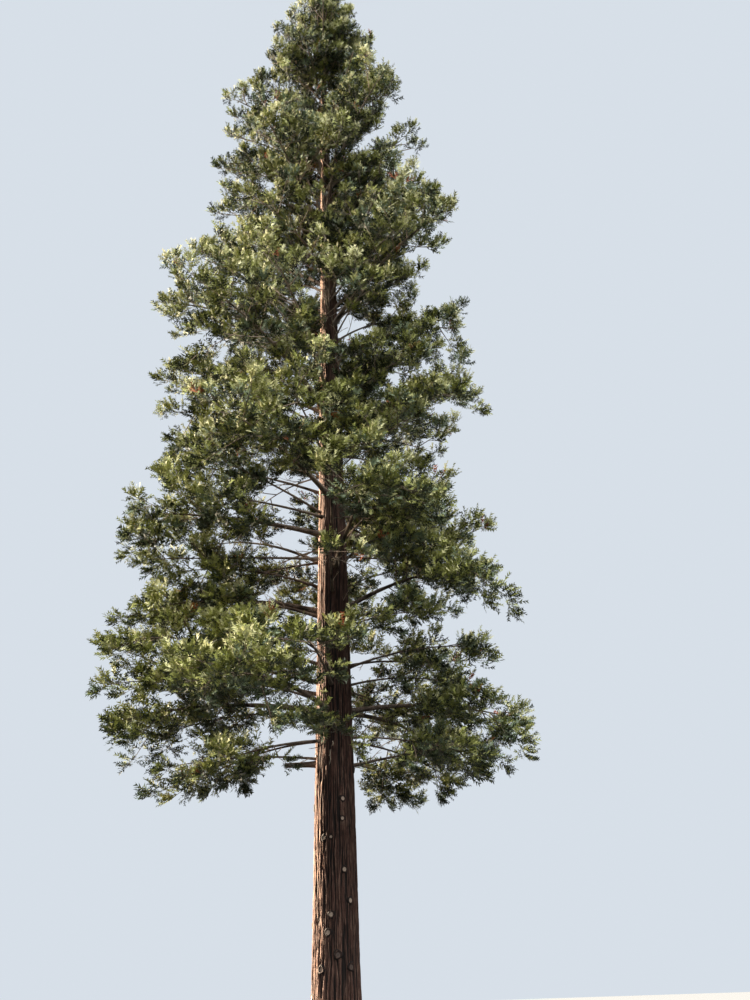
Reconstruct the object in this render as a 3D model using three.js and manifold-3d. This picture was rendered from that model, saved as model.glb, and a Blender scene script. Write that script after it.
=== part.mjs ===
// A coast redwood about 25 m tall: one straight trunk with a flared foot, 24 bare boughs in six tiers,
// a pruned stub, and 34 masses of needle sprays on twigs, each mass a solid of its own.
// Millimetres. +Z is up, +X is to the viewer's right and +Y is away from the viewer.
// The origin is the middle of the flat cut under the trunk, at ground level.
import * as THREE from "three";
import { mergeVertices } from "three/addons/utils/BufferGeometryUtils.js";
import Module from "manifold-3d";

const wasm = await Module();
wasm.setup();

const { degToRad } = THREE.MathUtils;
const UP = new THREE.Vector3(0, 0, 1);
const STEEP = 0.9;
const MERGE_DISTANCE = 1e-3;
const STREAM = { seedFactor: 12.9898, countFactor: 78.233, scale: 43758.5453 };

// The trunk: a straight taper towards a point just above the tree, with a flare of five lobes at the foot.
const TREE_HEIGHT = 25000;
const TRUNK_TOP = 23300;
const TRUNK_FOOT_RADIUS = 435;
const TRUNK_VANISHING_HEIGHT = 25600;
const TRUNK_SWAY = 60;
const TRUNK_SIDES = 16;
const FLARE_RADIUS = 170;
const FLARE_HEIGHT = 500;
const FLARE_LOBES = 5;
const FLARE_LOBE_DEPTH = 0.3;
const FLARE_LEVELS = [0, 150, 400, 800, 1500];
const TRUNK_STEP = 2800;

// Each tier of limbs, from the bottom: height is where its limbs leave the trunk, reach is how far its
// foliage gets from the trunk's middle, bearing is the way its first limb points (180 is the viewer's left),
// and leaving and arriving are the limb's slopes at the trunk and at its tip. Every second limb is raised by
// the stagger and turned by the skew. In the tiers with boughs the limb is bare as far as its foliage. In the
// others the foliage starts at the trunk.
const TIERS = [
  { height: 6350, reach: 4600, limbs: 4, bearing: 184, stagger: 0, skew: -36, leaving: 12, arriving: -14 },
  { height: 8250, reach: 4400, limbs: 4, bearing: 158, stagger: 850, skew: 34, leaving: 26, arriving: -8 },
  { height: 9900, reach: 4350, limbs: 4, bearing: 192, stagger: 850, skew: -40, leaving: 12, arriving: -4 },
  { height: 11700, reach: 4200, limbs: 4, bearing: 155, stagger: 850, skew: -8, leaving: 36, arriving: 0 },
  { height: 13900, reach: 4150, limbs: 4, bearing: 182, stagger: 850, skew: 38, leaving: 42, arriving: 6 },
  { height: 15900, reach: 3450, limbs: 4, bearing: 150, stagger: 850, skew: 0, leaving: 46, arriving: 10 },
  { height: 17700, reach: 3100, limbs: 3, bearing: 155, stagger: 850, skew: 25, leaving: 50, arriving: 12 },
  { height: 19250, reach: 2750, limbs: 3, bearing: 196, stagger: 850, skew: 14, leaving: 54, arriving: 16 },
  { height: 20800, reach: 2000, limbs: 3, bearing: 150, stagger: 850, skew: 0, leaving: 62, arriving: 30 },
];
const BOUGH_TIERS = 6;
const RIGHT_SIDE_LOSS = 0.16;
const BEARING_JITTER = 9;
const REACH_JITTER = 0.06;
const LIMB_POINTS = 12;
const LIMB_SLENDERNESS = 0.0172;
const FIRST_LIMB_SEED = 100;
const BOUGH = { share: 0.36, tipShare: 0.55, sides: 6, segments: 3 };

// The stub of a sawn limb, low on the viewer's left.
const STUB = { height: 5450, bearing: 186, slope: -2, length: 560, rootRadius: 55, endRadius: 43 };
const STUB_SEGMENTS = 2;

// The leader carries the trunk's line on above its cut top, with twigs all round it.
const LEADER = { stem: 1250, reach: 1500, twigs: 8, spraySize: 0.56, lowSlope: 2, highSlope: 55, seed: 99 };

// Foliage: a three-sided stem, side twigs on it, and toothed sprays on both. A twig ends in a point that is
// buried in the spray at its tip. Shares are of the length of the stem or the twig, and angles are degrees.
const STEM = { sides: 3, segments: 3, endRadius: 10, rootShare: 0.8 };
const TWIG = {
  count: 5,
  radius: 24,
  reachShare: 0.3,
  firstShare: 0.08,
  firstShareAtTrunk: 0.34,
  lastShare: 0.92,
  lowAngle: 72,
  highAngle: 42,
  lift: 0.75,
  placeJitter: 0.3,
  shortest: 0.85,
  longest: 1.15,
  sizes: [1, 0.8, 0.6, 0.4],
};
const SPRAY = {
  length: 1650,
  width: 1300,
  thickness: 50,
  crest: 0.45,
  rootSunk: 170,
  fullSizeReach: 3800,
  roomShare: 0.5,
  wander: 0.22,
  leastRoll: 20,
  rollRange: 65,
  sizes: [1.2, 1.1, 1, 0.9, 0.8, 0.7, 0.6, 0.5],
  tries: 5,
};
const TIP_SPRAY_SIZE = 0.95;
const SIDE_SPRAY = { share: 0.4, angle: 55, lift: 0.4, size: 0.8 };
const STEM_SPRAYS = [
  { share: 0.45, lift: 1.1, size: 0.85 },
  { share: 0.7, lift: -1.3, size: 0.85 },
];
const STEM_SPRAY_TURN = 0.4;
const GOLDEN_ANGLE = 137.5;

// A spray's outline in its own plane, as shares of its length and width. Its teeth alternate, and each
// corner can be seen from the crest.
const SPRAY_OUTLINE = [
  [0, 0],
  [0.3, -0.5],
  [0.46, -0.18],
  [0.74, -0.4],
  [1, 0],
  [0.68, 0.16],
  [0.5, 0.5],
  [0.24, 0.2],
];

// Clearances: between solids that meet, between masses, and between foliage and limbs. Foliage keeps clear of
// points this far apart along each limb. The foot of a spray or twig isn't tested, as its root is on a limb.
const MEETING_GAP = 0.35;
const SPACE_MARGIN = 25;
const LIMB_CLEARANCE = 105;
const STEM_CLEARANCE = 20;
const TRUNK_POINT_STEP = 250;
const LIMB_POINT_STEP = 120;
const SPRAY_FOOT = 200;
const RIM_POINTS = 2;
const TWIG_POINTS = 6;
const TWIG_FOOT_POINTS = 2;

const BARK = { color: 0x6a3d2b, roughness: 0.95, metalness: 0 };
const BRANCH_BARK = { color: 0x5d5045, roughness: 0.9, metalness: 0 };
const NEEDLES = [0x3f5228, 0x4a5c2b, 0x566630, 0x36482a];

// A repeatable stream of numbers from 0 to 1.
function seededStream(seed) {
  let count = 0;
  return () => {
    count += 1;
    const value = Math.sin(seed * STREAM.seedFactor + count * STREAM.countFactor) * STREAM.scale;
    return value - Math.floor(value);
  };
}

// A number between minus and plus the span.
function spread(random, span) {
  return (random() * 2 - 1) * span;
}

function direction(bearing, slope) {
  const level = Math.cos(degToRad(slope));
  return new THREE.Vector3(
    level * Math.cos(degToRad(bearing)),
    level * Math.sin(degToRad(bearing)),
    Math.sin(degToRad(slope)),
  );
}

function solidFrom(geometry) {
  const bare = geometry.index ? geometry.toNonIndexed() : geometry.clone();
  bare.deleteAttribute("normal");
  bare.deleteAttribute("uv");
  const merged = mergeVertices(bare, MERGE_DISTANCE);
  return new wasm.Manifold(
    new wasm.Mesh({
      numProp: 3,
      vertProperties: merged.attributes.position.array,
      triVerts: new Uint32Array(merged.index.array),
    }),
  );
}

function geometryFrom(solid) {
  const mesh = solid.getMesh();
  const geometry = new THREE.BufferGeometry();
  geometry.setAttribute("position", new THREE.BufferAttribute(new Float32Array(mesh.vertProperties), 3));
  geometry.setIndex(new THREE.BufferAttribute(new Uint32Array(mesh.triVerts), 1));
  geometry.computeVertexNormals();
  return geometry;
}

// The largest outer body of a fused solid, so that no loose scrap or sealed hollow is left.
function wholeBody(solid) {
  return solid.decompose().reduce((best, body) => (body.volume() > best.volume() ? body : best));
}

// A closed skin over rings of equal numbers of points, with a fan over each end.
function ringSkin(rings) {
  const sides = rings[0].length;
  const positions = rings.flat().flatMap((point) => point.toArray());
  const faces = [];
  for (let level = 0; level + 1 < rings.length; level += 1) {
    for (let side = 0; side < sides; side += 1) {
      const low = level * sides;
      const next = (side + 1) % sides;
      faces.push(low + side, low + next, low + sides + next);
      faces.push(low + side, low + sides + next, low + sides + side);
    }
  }
  const top = (rings.length - 1) * sides;
  for (let side = 1; side + 1 < sides; side += 1) {
    faces.push(0, side + 1, side);
    faces.push(top, top + side, top + side + 1);
  }
  const geometry = new THREE.BufferGeometry();
  geometry.setAttribute("position", new THREE.Float32BufferAttribute(positions, 3));
  geometry.setIndex(faces);
  return geometry;
}

function trunkRadius(height) {
  return TRUNK_FOOT_RADIUS * (1 - height / TRUNK_VANISHING_HEIGHT);
}

function trunkMiddle(height) {
  return new THREE.Vector3(TRUNK_SWAY * Math.sin((Math.PI * height) / TRUNK_TOP), 0, height);
}

function trunkRing(height, growth) {
  const ring = [];
  for (let side = 0; side < TRUNK_SIDES; side += 1) {
    const angle = (side / TRUNK_SIDES) * Math.PI * 2;
    const lobe = 1 + FLARE_LOBE_DEPTH * Math.cos(FLARE_LOBES * angle);
    const flare = FLARE_RADIUS * Math.exp(-height / FLARE_HEIGHT) * lobe;
    const radius = trunkRadius(height) + flare + growth;
    const offset = new THREE.Vector3(Math.cos(angle), Math.sin(angle), 0).multiplyScalar(radius);
    ring.push(trunkMiddle(height).add(offset));
  }
  return ring;
}

function trunkSolid(growth) {
  const levels = [...FLARE_LEVELS];
  const count = Math.round((TRUNK_TOP - FLARE_LEVELS.at(-1)) / TRUNK_STEP);
  for (let step = 1; step <= count; step += 1) {
    levels.push(FLARE_LEVELS.at(-1) + ((TRUNK_TOP - FLARE_LEVELS.at(-1)) * step) / count);
  }
  const rings = levels.map((height) => trunkRing(height, growth));
  return solidFrom(ringSkin(rings));
}

// A tapering limb along a stretch of a curve, with a regular section.
function limbSolid(curve, from, to, startRadius, endRadius, sides, segments) {
  const rings = [];
  let across = new THREE.Vector3();
  for (let step = 0; step <= segments; step += 1) {
    const share = step / segments;
    const along = from + (to - from) * share;
    const tangent = curve.getTangentAt(along);
    across = step ? across.addScaledVector(tangent, -across.dot(tangent)) : perpendicularTo(tangent);
    across.normalize();
    const upright = new THREE.Vector3().crossVectors(tangent, across);
    const radius = startRadius + (endRadius - startRadius) * share;
    const middle = curve.getPointAt(along);
    const ring = [];
    for (let side = 0; side < sides; side += 1) {
      const angle = (side / sides) * Math.PI * 2;
      const point = middle.clone().addScaledVector(across, radius * Math.cos(angle));
      ring.push(point.addScaledVector(upright, radius * Math.sin(angle)));
    }
    rings.push(ring);
  }
  return solidFrom(ringSkin(rings));
}

// A three-sided twig from its root to a point.
function twigSolid(root, end, radius) {
  const heading = end.clone().sub(root).normalize();
  const across = perpendicularTo(heading);
  const positions = [...end.toArray()];
  for (let side = 0; side < 3; side += 1) {
    const corner = across.clone().applyAxisAngle(heading, (side / 3) * Math.PI * 2);
    positions.push(...root.clone().addScaledVector(corner, radius).toArray());
  }
  const geometry = new THREE.BufferGeometry();
  geometry.setAttribute("position", new THREE.Float32BufferAttribute(positions, 3));
  geometry.setIndex([0, 1, 2, 0, 2, 3, 0, 3, 1, 3, 2, 1]);
  return solidFrom(geometry);
}

function perpendicularTo(tangent) {
  const helper = Math.abs(tangent.z) > STEEP ? new THREE.Vector3(1, 0, 0) : UP;
  return new THREE.Vector3().crossVectors(helper, tangent).normalize();
}

// The line of a limb: it leaves the trunk's middle at one slope and arrives at another.
function limbCurve(start, bearing, leaving, arriving, reach) {
  const points = [start];
  for (let step = 0; step < LIMB_POINTS; step += 1) {
    const share = (step + 0.5) / LIMB_POINTS;
    const slope = leaving + (arriving - leaving) * share;
    const stride = reach / LIMB_POINTS / Math.cos(degToRad(slope));
    points.push(points.at(-1).clone().addScaledVector(direction(bearing, slope), stride));
  }
  return new THREE.CatmullRomCurve3(points);
}

const SIDE_NAMES = ["right", "back_right", "back", "back_left", "left", "front_left", "front", "front_right"];

function sideName(bearing) {
  const turn = (((bearing % 360) + 360) % 360) / 360;
  return SIDE_NAMES[Math.round(turn * SIDE_NAMES.length) % SIDE_NAMES.length];
}

// Every limb of the crown: its name, its line, where its foliage starts on it, and its radii.
function planLimbs() {
  const limbs = [];
  TIERS.forEach((tier, index) => {
    const random = seededStream(index + 1);
    const hasBough = index < BOUGH_TIERS;
    for (let place = 0; place < tier.limbs; place += 1) {
      const isSecond = place % 2 === 1;
      const turn = (place * 360) / tier.limbs + (place ? spread(random, BEARING_JITTER) : 0);
      const bearing = tier.bearing + turn + (isSecond ? tier.skew : 0);
      const rightShare = Math.max(0, Math.cos(degToRad(bearing)));
      const change = place ? spread(random, REACH_JITTER) : 0;
      const reach = tier.reach * (1 + change) * (1 - RIGHT_SIDE_LOSS * rightShare);
      const height = tier.height + (isSecond ? tier.stagger : 0);
      const spraySize = Math.min(1, reach / SPRAY.fullSizeReach);
      const sprayRoom = SPRAY.length * spraySize * SPRAY.roomShare;
      const curve = limbCurve(trunkMiddle(height), bearing, tier.leaving, tier.arriving, reach - sprayRoom);
      const radius = curve.getLength() * LIMB_SLENDERNESS;
      limbs.push({
        name: `${index + 1}_${sideName(bearing)}`,
        tier: index,
        curve,
        reach,
        spraySize,
        hasBough,
        foliageFrom: hasBough ? BOUGH.share : 0,
        radius,
        stemRadius: radius * (hasBough ? BOUGH.tipShare : STEM.rootShare),
        seed: FIRST_LIMB_SEED + limbs.length,
      });
    }
  });
  return limbs;
}

// The leader carries the trunk's line on above its cut top.
function planLeader() {
  const start = trunkMiddle(TRUNK_TOP).addScaledVector(UP, MEETING_GAP);
  const end = start.clone().addScaledVector(UP, LEADER.stem);
  return {
    name: "10_leader",
    tier: TIERS.length,
    curve: new THREE.LineCurve3(start, end),
    reach: LEADER.reach,
    spraySize: LEADER.spraySize,
    hasBough: false,
    foliageFrom: 0,
    radius: trunkRadius(TRUNK_TOP),
    stemRadius: trunkRadius(TRUNK_TOP),
    isLeader: true,
    seed: LEADER.seed,
  };
}

const limbs = planLimbs();
const leader = planLeader();
const masses = [...limbs, leader];
for (const mass of masses) {
  mass.centre = mass.curve.getPointAt((mass.foliageFrom + 1) / 2);
}

// The limbs that foliage keeps clear of, as points along each with the radius there.
function limbObstacles() {
  const obstacles = [];
  for (let height = 0; height <= TRUNK_TOP; height += TRUNK_POINT_STEP) {
    obstacles.push({ owner: "trunk", point: trunkMiddle(height), radius: trunkRadius(height) });
  }
  for (const limb of masses) {
    const count = Math.ceil(limb.curve.getLength() / LIMB_POINT_STEP);
    for (let step = 0; step <= count; step += 1) {
      const share = step / count;
      const isStem = share > limb.foliageFrom;
      obstacles.push({
        owner: isStem ? limb.name : `bough ${limb.name}`,
        point: limb.curve.getPointAt(share),
        radius: limb.radius * (1 - share / 2) + (isStem ? STEM_CLEARANCE : 0),
      });
    }
  }
  return obstacles;
}

const obstacles = limbObstacles();

// True where every point is nearer to the mass's own centre than to any other, and clear of the limbs.
function keepsToSpace(points, mass) {
  for (const point of points) {
    if (Math.hypot(point.x, point.y) > mass.reach || point.z > TREE_HEIGHT) return false;
    for (const other of masses) {
      if (other === mass) continue;
      const apart = other.centre.distanceTo(mass.centre);
      const excess = point.distanceToSquared(other.centre) - point.distanceToSquared(mass.centre);
      if (excess / (2 * apart) < SPACE_MARGIN) return false;
    }
    for (const obstacle of obstacles) {
      if (obstacle.owner === mass.name) continue;
      if (point.distanceTo(obstacle.point) < obstacle.radius + LIMB_CLEARANCE) return false;
    }
  }
  return true;
}

// Points along the straight line between two points.
function pointsBetween(start, end, count) {
  const points = [];
  for (let step = 0; step <= count; step += 1) {
    points.push(start.clone().lerp(end, step / count));
  }
  return points;
}

// A flat spray: the toothed outline under a low crest on each face.
function spray(root, heading, flatUp, size) {
  const across = new THREE.Vector3().crossVectors(flatUp, heading).normalize();
  const normal = new THREE.Vector3().crossVectors(heading, across).normalize();
  const length = SPRAY.length * size;
  const width = SPRAY.width * size;
  const place = (along, aside, above) =>
    root
      .clone()
      .addScaledVector(heading, along * length)
      .addScaledVector(across, aside * width)
      .addScaledVector(normal, above);
  const outline = SPRAY_OUTLINE.map(([along, aside]) => place(along, aside, 0));
  const crests = [place(SPRAY.crest, 0, SPRAY.thickness / 2), place(SPRAY.crest, 0, -SPRAY.thickness / 2)];
  const positions = [...outline, ...crests].flatMap((point) => point.toArray());
  const faces = [];
  const count = outline.length;
  for (let corner = 0; corner < count; corner += 1) {
    const next = (corner + 1) % count;
    faces.push(corner, next, count);
    faces.push(next, corner, count + 1);
  }
  const geometry = new THREE.BufferGeometry();
  geometry.setAttribute("position", new THREE.Float32BufferAttribute(positions, 3));
  geometry.setIndex(faces);
  const rim = outline.flatMap((corner, index) =>
    pointsBetween(corner, outline[(index + 1) % count], RIM_POINTS),
  );
  return { geometry, probes: [...rim.filter((point) => point.distanceTo(root) > SPRAY_FOOT), ...crests] };
}

// Adds a spray to a mass, turned or made smaller until it keeps to the mass's space and crosses no piece
// but the one that bears it. A spray that never fits is left off.
function addSpray(mass, pieces, bearer, root, heading, random, size) {
  const flatUp = Math.abs(heading.z) > STEEP ? new THREE.Vector3(1, 0, 0) : UP;
  for (const change of SPRAY.sizes.flatMap((each) => Array(SPRAY.tries).fill(each))) {
    const turned = heading.clone();
    turned.x += spread(random, SPRAY.wander);
    turned.y += spread(random, SPRAY.wander);
    turned.z += spread(random, SPRAY.wander);
    turned.normalize();
    const lean = SPRAY.leastRoll + SPRAY.rollRange * random();
    const roll = degToRad(random() < 0.5 ? lean : -lean);
    const sizeNow = size * change * mass.spraySize;
    const made = spray(root, turned, flatUp.clone().applyAxisAngle(turned, roll), sizeNow);
    if (!keepsToSpace(made.probes, mass)) continue;
    const solid = solidFrom(made.geometry);
    if (pieces.some((piece) => piece !== bearer && !piece.intersect(solid).isEmpty())) continue;
    pieces.push(solid);
    return;
  }
}

// A side twig with a spray round its tip and another on its side.
function addTwig(mass, pieces, root, heading, length, random) {
  for (const change of TWIG.sizes) {
    const end = root.clone().addScaledVector(heading, length * change);
    const outer = pointsBetween(root, end, TWIG_POINTS).slice(TWIG_FOOT_POINTS);
    if (!keepsToSpace(outer, mass)) continue;
    const twig = twigSolid(root, end, TWIG.radius);
    if (pieces.slice(1).some((piece) => !piece.intersect(twig).isEmpty())) continue;
    pieces.push(twig);
    const tipRoot = end.clone().addScaledVector(heading, -SPRAY.rootSunk);
    addSpray(mass, pieces, twig, tipRoot, heading, random, 1);
    const side = random() < 0.5 ? SIDE_SPRAY.angle : -SIDE_SPRAY.angle;
    const aside = heading.clone().applyAxisAngle(UP, degToRad(side));
    aside.z += spread(random, SIDE_SPRAY.lift);
    const sideRoot = root.clone().lerp(end, SIDE_SPRAY.share);
    addSpray(mass, pieces, twig, sideRoot, aside.normalize(), random, SIDE_SPRAY.size);
    return;
  }
}

// The way a side twig leaves the stem: to the two sides in turn on a limb, and all round on the leader.
function twigHeading(mass, index, share, tangent, random) {
  if (mass.isLeader) {
    const slope = LEADER.lowSlope + (LEADER.highSlope - LEADER.lowSlope) * share;
    return direction(index * GOLDEN_ANGLE, slope);
  }
  const angle = TWIG.lowAngle + (TWIG.highAngle - TWIG.lowAngle) * share;
  const heading = tangent.clone().applyAxisAngle(UP, degToRad(index % 2 ? -angle : angle));
  heading.z += spread(random, TWIG.lift);
  return heading.normalize();
}

// Side twigs along the stem, each with its sprays. They get shorter towards the stem's tip.
function addTwigs(mass, pieces, onStem, random) {
  const startsAtTrunk = !mass.hasBough && !mass.isLeader;
  const first = startsAtTrunk ? TWIG.firstShareAtTrunk : TWIG.firstShare;
  const count = mass.isLeader ? LEADER.twigs : TWIG.count;
  for (let index = 0; index < count; index += 1) {
    const share = first + (TWIG.lastShare - first) * ((index + TWIG.placeJitter * random()) / count);
    const tangent = mass.curve.getTangentAt(onStem(share));
    const heading = twigHeading(mass, index, share, tangent, random);
    const change = TWIG.shortest + (TWIG.longest - TWIG.shortest) * random();
    const length = mass.reach * TWIG.reachShare * (1 - share / 2) * change;
    addTwig(mass, pieces, mass.curve.getPointAt(onStem(share)), heading, length, random);
  }
}

// Sprays straight on the stem: one above it and one below.
function addStemSprays(mass, pieces, onStem, random) {
  for (const { share, lift, size } of STEM_SPRAYS) {
    const heading = mass.curve.getTangentAt(onStem(share));
    heading.z += lift;
    heading.x += spread(random, STEM_SPRAY_TURN);
    heading.y += spread(random, STEM_SPRAY_TURN);
    const root = mass.curve.getPointAt(onStem(share));
    addSpray(mass, pieces, pieces[0], root, heading.normalize(), random, size);
  }
}

// A mass of foliage, grown from its own seed: the stem, the spray at its tip, the side twigs, and the sprays
// straight on the stem.
function foliageSolid(mass, grownTrunk) {
  const random = seededStream(mass.seed);
  const { curve, foliageFrom } = mass;
  const onStem = (share) => foliageFrom + (1 - foliageFrom) * share;
  const stemFrom = foliageFrom ? foliageFrom + MEETING_GAP / curve.getLength() : 0;
  const stem = limbSolid(curve, stemFrom, 1, mass.stemRadius, STEM.endRadius, STEM.sides, STEM.segments);
  const pieces = [stem];
  const tipHeading = curve.getTangentAt(1);
  const tipRoot = curve.getPointAt(1).addScaledVector(tipHeading, -SPRAY.rootSunk);
  addSpray(mass, pieces, stem, tipRoot, tipHeading, random, TIP_SPRAY_SIZE);
  addTwigs(mass, pieces, onStem, random);
  addStemSprays(mass, pieces, onStem, random);
  const fused = wholeBody(wasm.Manifold.union(pieces));
  return mass.hasBough || mass.isLeader ? fused : wholeBody(fused.subtract(grownTrunk));
}

function boughSolid(limb, grownTrunk) {
  const bough = limbSolid(
    limb.curve,
    0,
    limb.foliageFrom,
    limb.radius,
    limb.radius * BOUGH.tipShare,
    BOUGH.sides,
    BOUGH.segments,
  );
  return wholeBody(bough.subtract(grownTrunk));
}

function stubSolid(grownTrunk) {
  const start = trunkMiddle(STUB.height);
  const reach = trunkRadius(STUB.height) + STUB.length;
  const end = start.clone().addScaledVector(direction(STUB.bearing, STUB.slope), reach);
  const line = new THREE.LineCurve3(start, end);
  const stub = limbSolid(line, 0, 1, STUB.rootRadius, STUB.endRadius, BOUGH.sides, STUB_SEGMENTS);
  return wholeBody(stub.subtract(grownTrunk));
}

function namedMesh(name, solid, finish) {
  const mesh = new THREE.Mesh(geometryFrom(solid), new THREE.MeshStandardMaterial(finish));
  mesh.name = name;
  return mesh;
}

const tree = new THREE.Group();
tree.name = "redwood_tree";

const grownTrunk = trunkSolid(MEETING_GAP);
tree.add(namedMesh("trunk", trunkSolid(0), BARK));
tree.add(namedMesh("sawn_stub", stubSolid(grownTrunk), BRANCH_BARK));
for (const limb of limbs.filter((each) => each.hasBough)) {
  tree.add(namedMesh(`bough_${limb.name}`, boughSolid(limb, grownTrunk), BRANCH_BARK));
}
for (const mass of masses) {
  const needles = { color: NEEDLES[mass.tier % NEEDLES.length], roughness: 0.8, metalness: 0 };
  tree.add(namedMesh(`foliage_${mass.name}`, foliageSolid(mass, grownTrunk), needles));
}

export default tree;
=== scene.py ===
"""A coast redwood, 25 m tall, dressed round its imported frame.

The trunk gets the relief of furrowed bark, the boughs carry on into finer limbs, and each mass of foliage is
grown again as twigs with tufts of needle sprigs. Metres throughout. +Z is up, +X is to the viewer's right and
+Y is away from the viewer.
"""

import logging
import math
from collections.abc import Iterator, Sequence
from dataclasses import dataclass, field
from enum import Enum
from typing import Any

import bpy
import numpy as np
from mathutils import Matrix, Vector, noise


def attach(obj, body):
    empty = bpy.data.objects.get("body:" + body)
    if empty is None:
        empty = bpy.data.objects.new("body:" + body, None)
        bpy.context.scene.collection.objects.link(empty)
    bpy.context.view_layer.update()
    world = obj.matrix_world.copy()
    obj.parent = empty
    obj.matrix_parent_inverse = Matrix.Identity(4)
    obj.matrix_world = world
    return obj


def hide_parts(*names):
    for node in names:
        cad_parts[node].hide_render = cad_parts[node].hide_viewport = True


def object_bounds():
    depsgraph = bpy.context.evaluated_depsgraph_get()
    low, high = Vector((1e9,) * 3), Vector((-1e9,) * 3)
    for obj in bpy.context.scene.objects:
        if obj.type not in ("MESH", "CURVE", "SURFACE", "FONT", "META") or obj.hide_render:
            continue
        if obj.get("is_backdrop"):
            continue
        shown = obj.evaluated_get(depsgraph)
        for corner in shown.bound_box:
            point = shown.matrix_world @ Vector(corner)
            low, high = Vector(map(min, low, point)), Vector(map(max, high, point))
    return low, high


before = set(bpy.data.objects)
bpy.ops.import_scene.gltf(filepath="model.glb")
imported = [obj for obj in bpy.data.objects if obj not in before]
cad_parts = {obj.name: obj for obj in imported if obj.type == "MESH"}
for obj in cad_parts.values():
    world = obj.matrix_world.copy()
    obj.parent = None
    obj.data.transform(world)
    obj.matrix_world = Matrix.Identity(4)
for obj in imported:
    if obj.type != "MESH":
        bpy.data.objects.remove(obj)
CAD_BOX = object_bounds()

log = logging.getLogger("redwood")

Array = np.ndarray
Colour = tuple[float, float, float]
Face = tuple[int, ...]
UP = np.array([0.0, 0.0, 1.0])
AHEAD = np.array([1.0, 0.0, 0.0])
SIDE_NAMES = ("right", "back_right", "back", "back_left", "left", "front_left", "front", "front_right")
FRONT = 270.0
GOLDEN_ANGLE = 137.5
STEEP = 0.9


def unit(vector: Array) -> Array:
    """Scale vectors to length one, along their last axis."""
    return vector / np.linalg.norm(vector, axis=-1, keepdims=True)


def direction(bearing: float, slope: float) -> Array:
    """Give the unit vector of a bearing and a slope.

    Args:
        bearing: Degrees from +X towards +Y.
        slope: Degrees above the level.

    Returns:
        The unit vector.
    """
    level = math.cos(math.radians(slope))
    turn = math.radians(bearing)
    return np.array([level * math.cos(turn), level * math.sin(turn), math.sin(math.radians(slope))])


def turned(vector: Array, axis: Array, degrees: float) -> Array:
    """Turn a vector about a unit axis by some degrees."""
    angle = math.radians(degrees)
    along = axis * (vector @ axis) * (1 - math.cos(angle))
    return vector * math.cos(angle) + np.cross(axis, vector) * math.sin(angle) + along


def across_to(heading: Array) -> Array:
    """Give a level unit vector at right angles to a heading, or one near it where the heading is steep."""
    helper = AHEAD if abs(heading[2]) > STEEP else UP
    return unit(np.cross(helper, heading))


class SeededStream:
    """The source's repeatable stream of numbers from 0 to 1, from the far digits of a sine."""

    SEED_STEP = 12.9898
    COUNT_STEP = 78.233
    SCATTER = 43758.5453

    def __init__(self, seed: int) -> None:
        """Start the stream of one seed."""
        self.seed = seed
        self.count = 0

    def draw(self) -> float:
        """Give the next number from 0 to 1."""
        self.count += 1
        value = math.sin(self.seed * self.SEED_STEP + self.count * self.COUNT_STEP) * self.SCATTER
        return value - math.floor(value)

    def spread(self, span: float) -> float:
        """Give a number between minus and plus the span."""
        return (self.draw() * 2 - 1) * span

    def between(self, low: float, high: float) -> float:
        """Give a number between two others."""
        return low + (high - low) * self.draw()

    def vector(self, span: float) -> Array:
        """Give a vector whose three parts lie between minus and plus the span."""
        return np.array([self.spread(span) for _ in range(3)])


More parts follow.
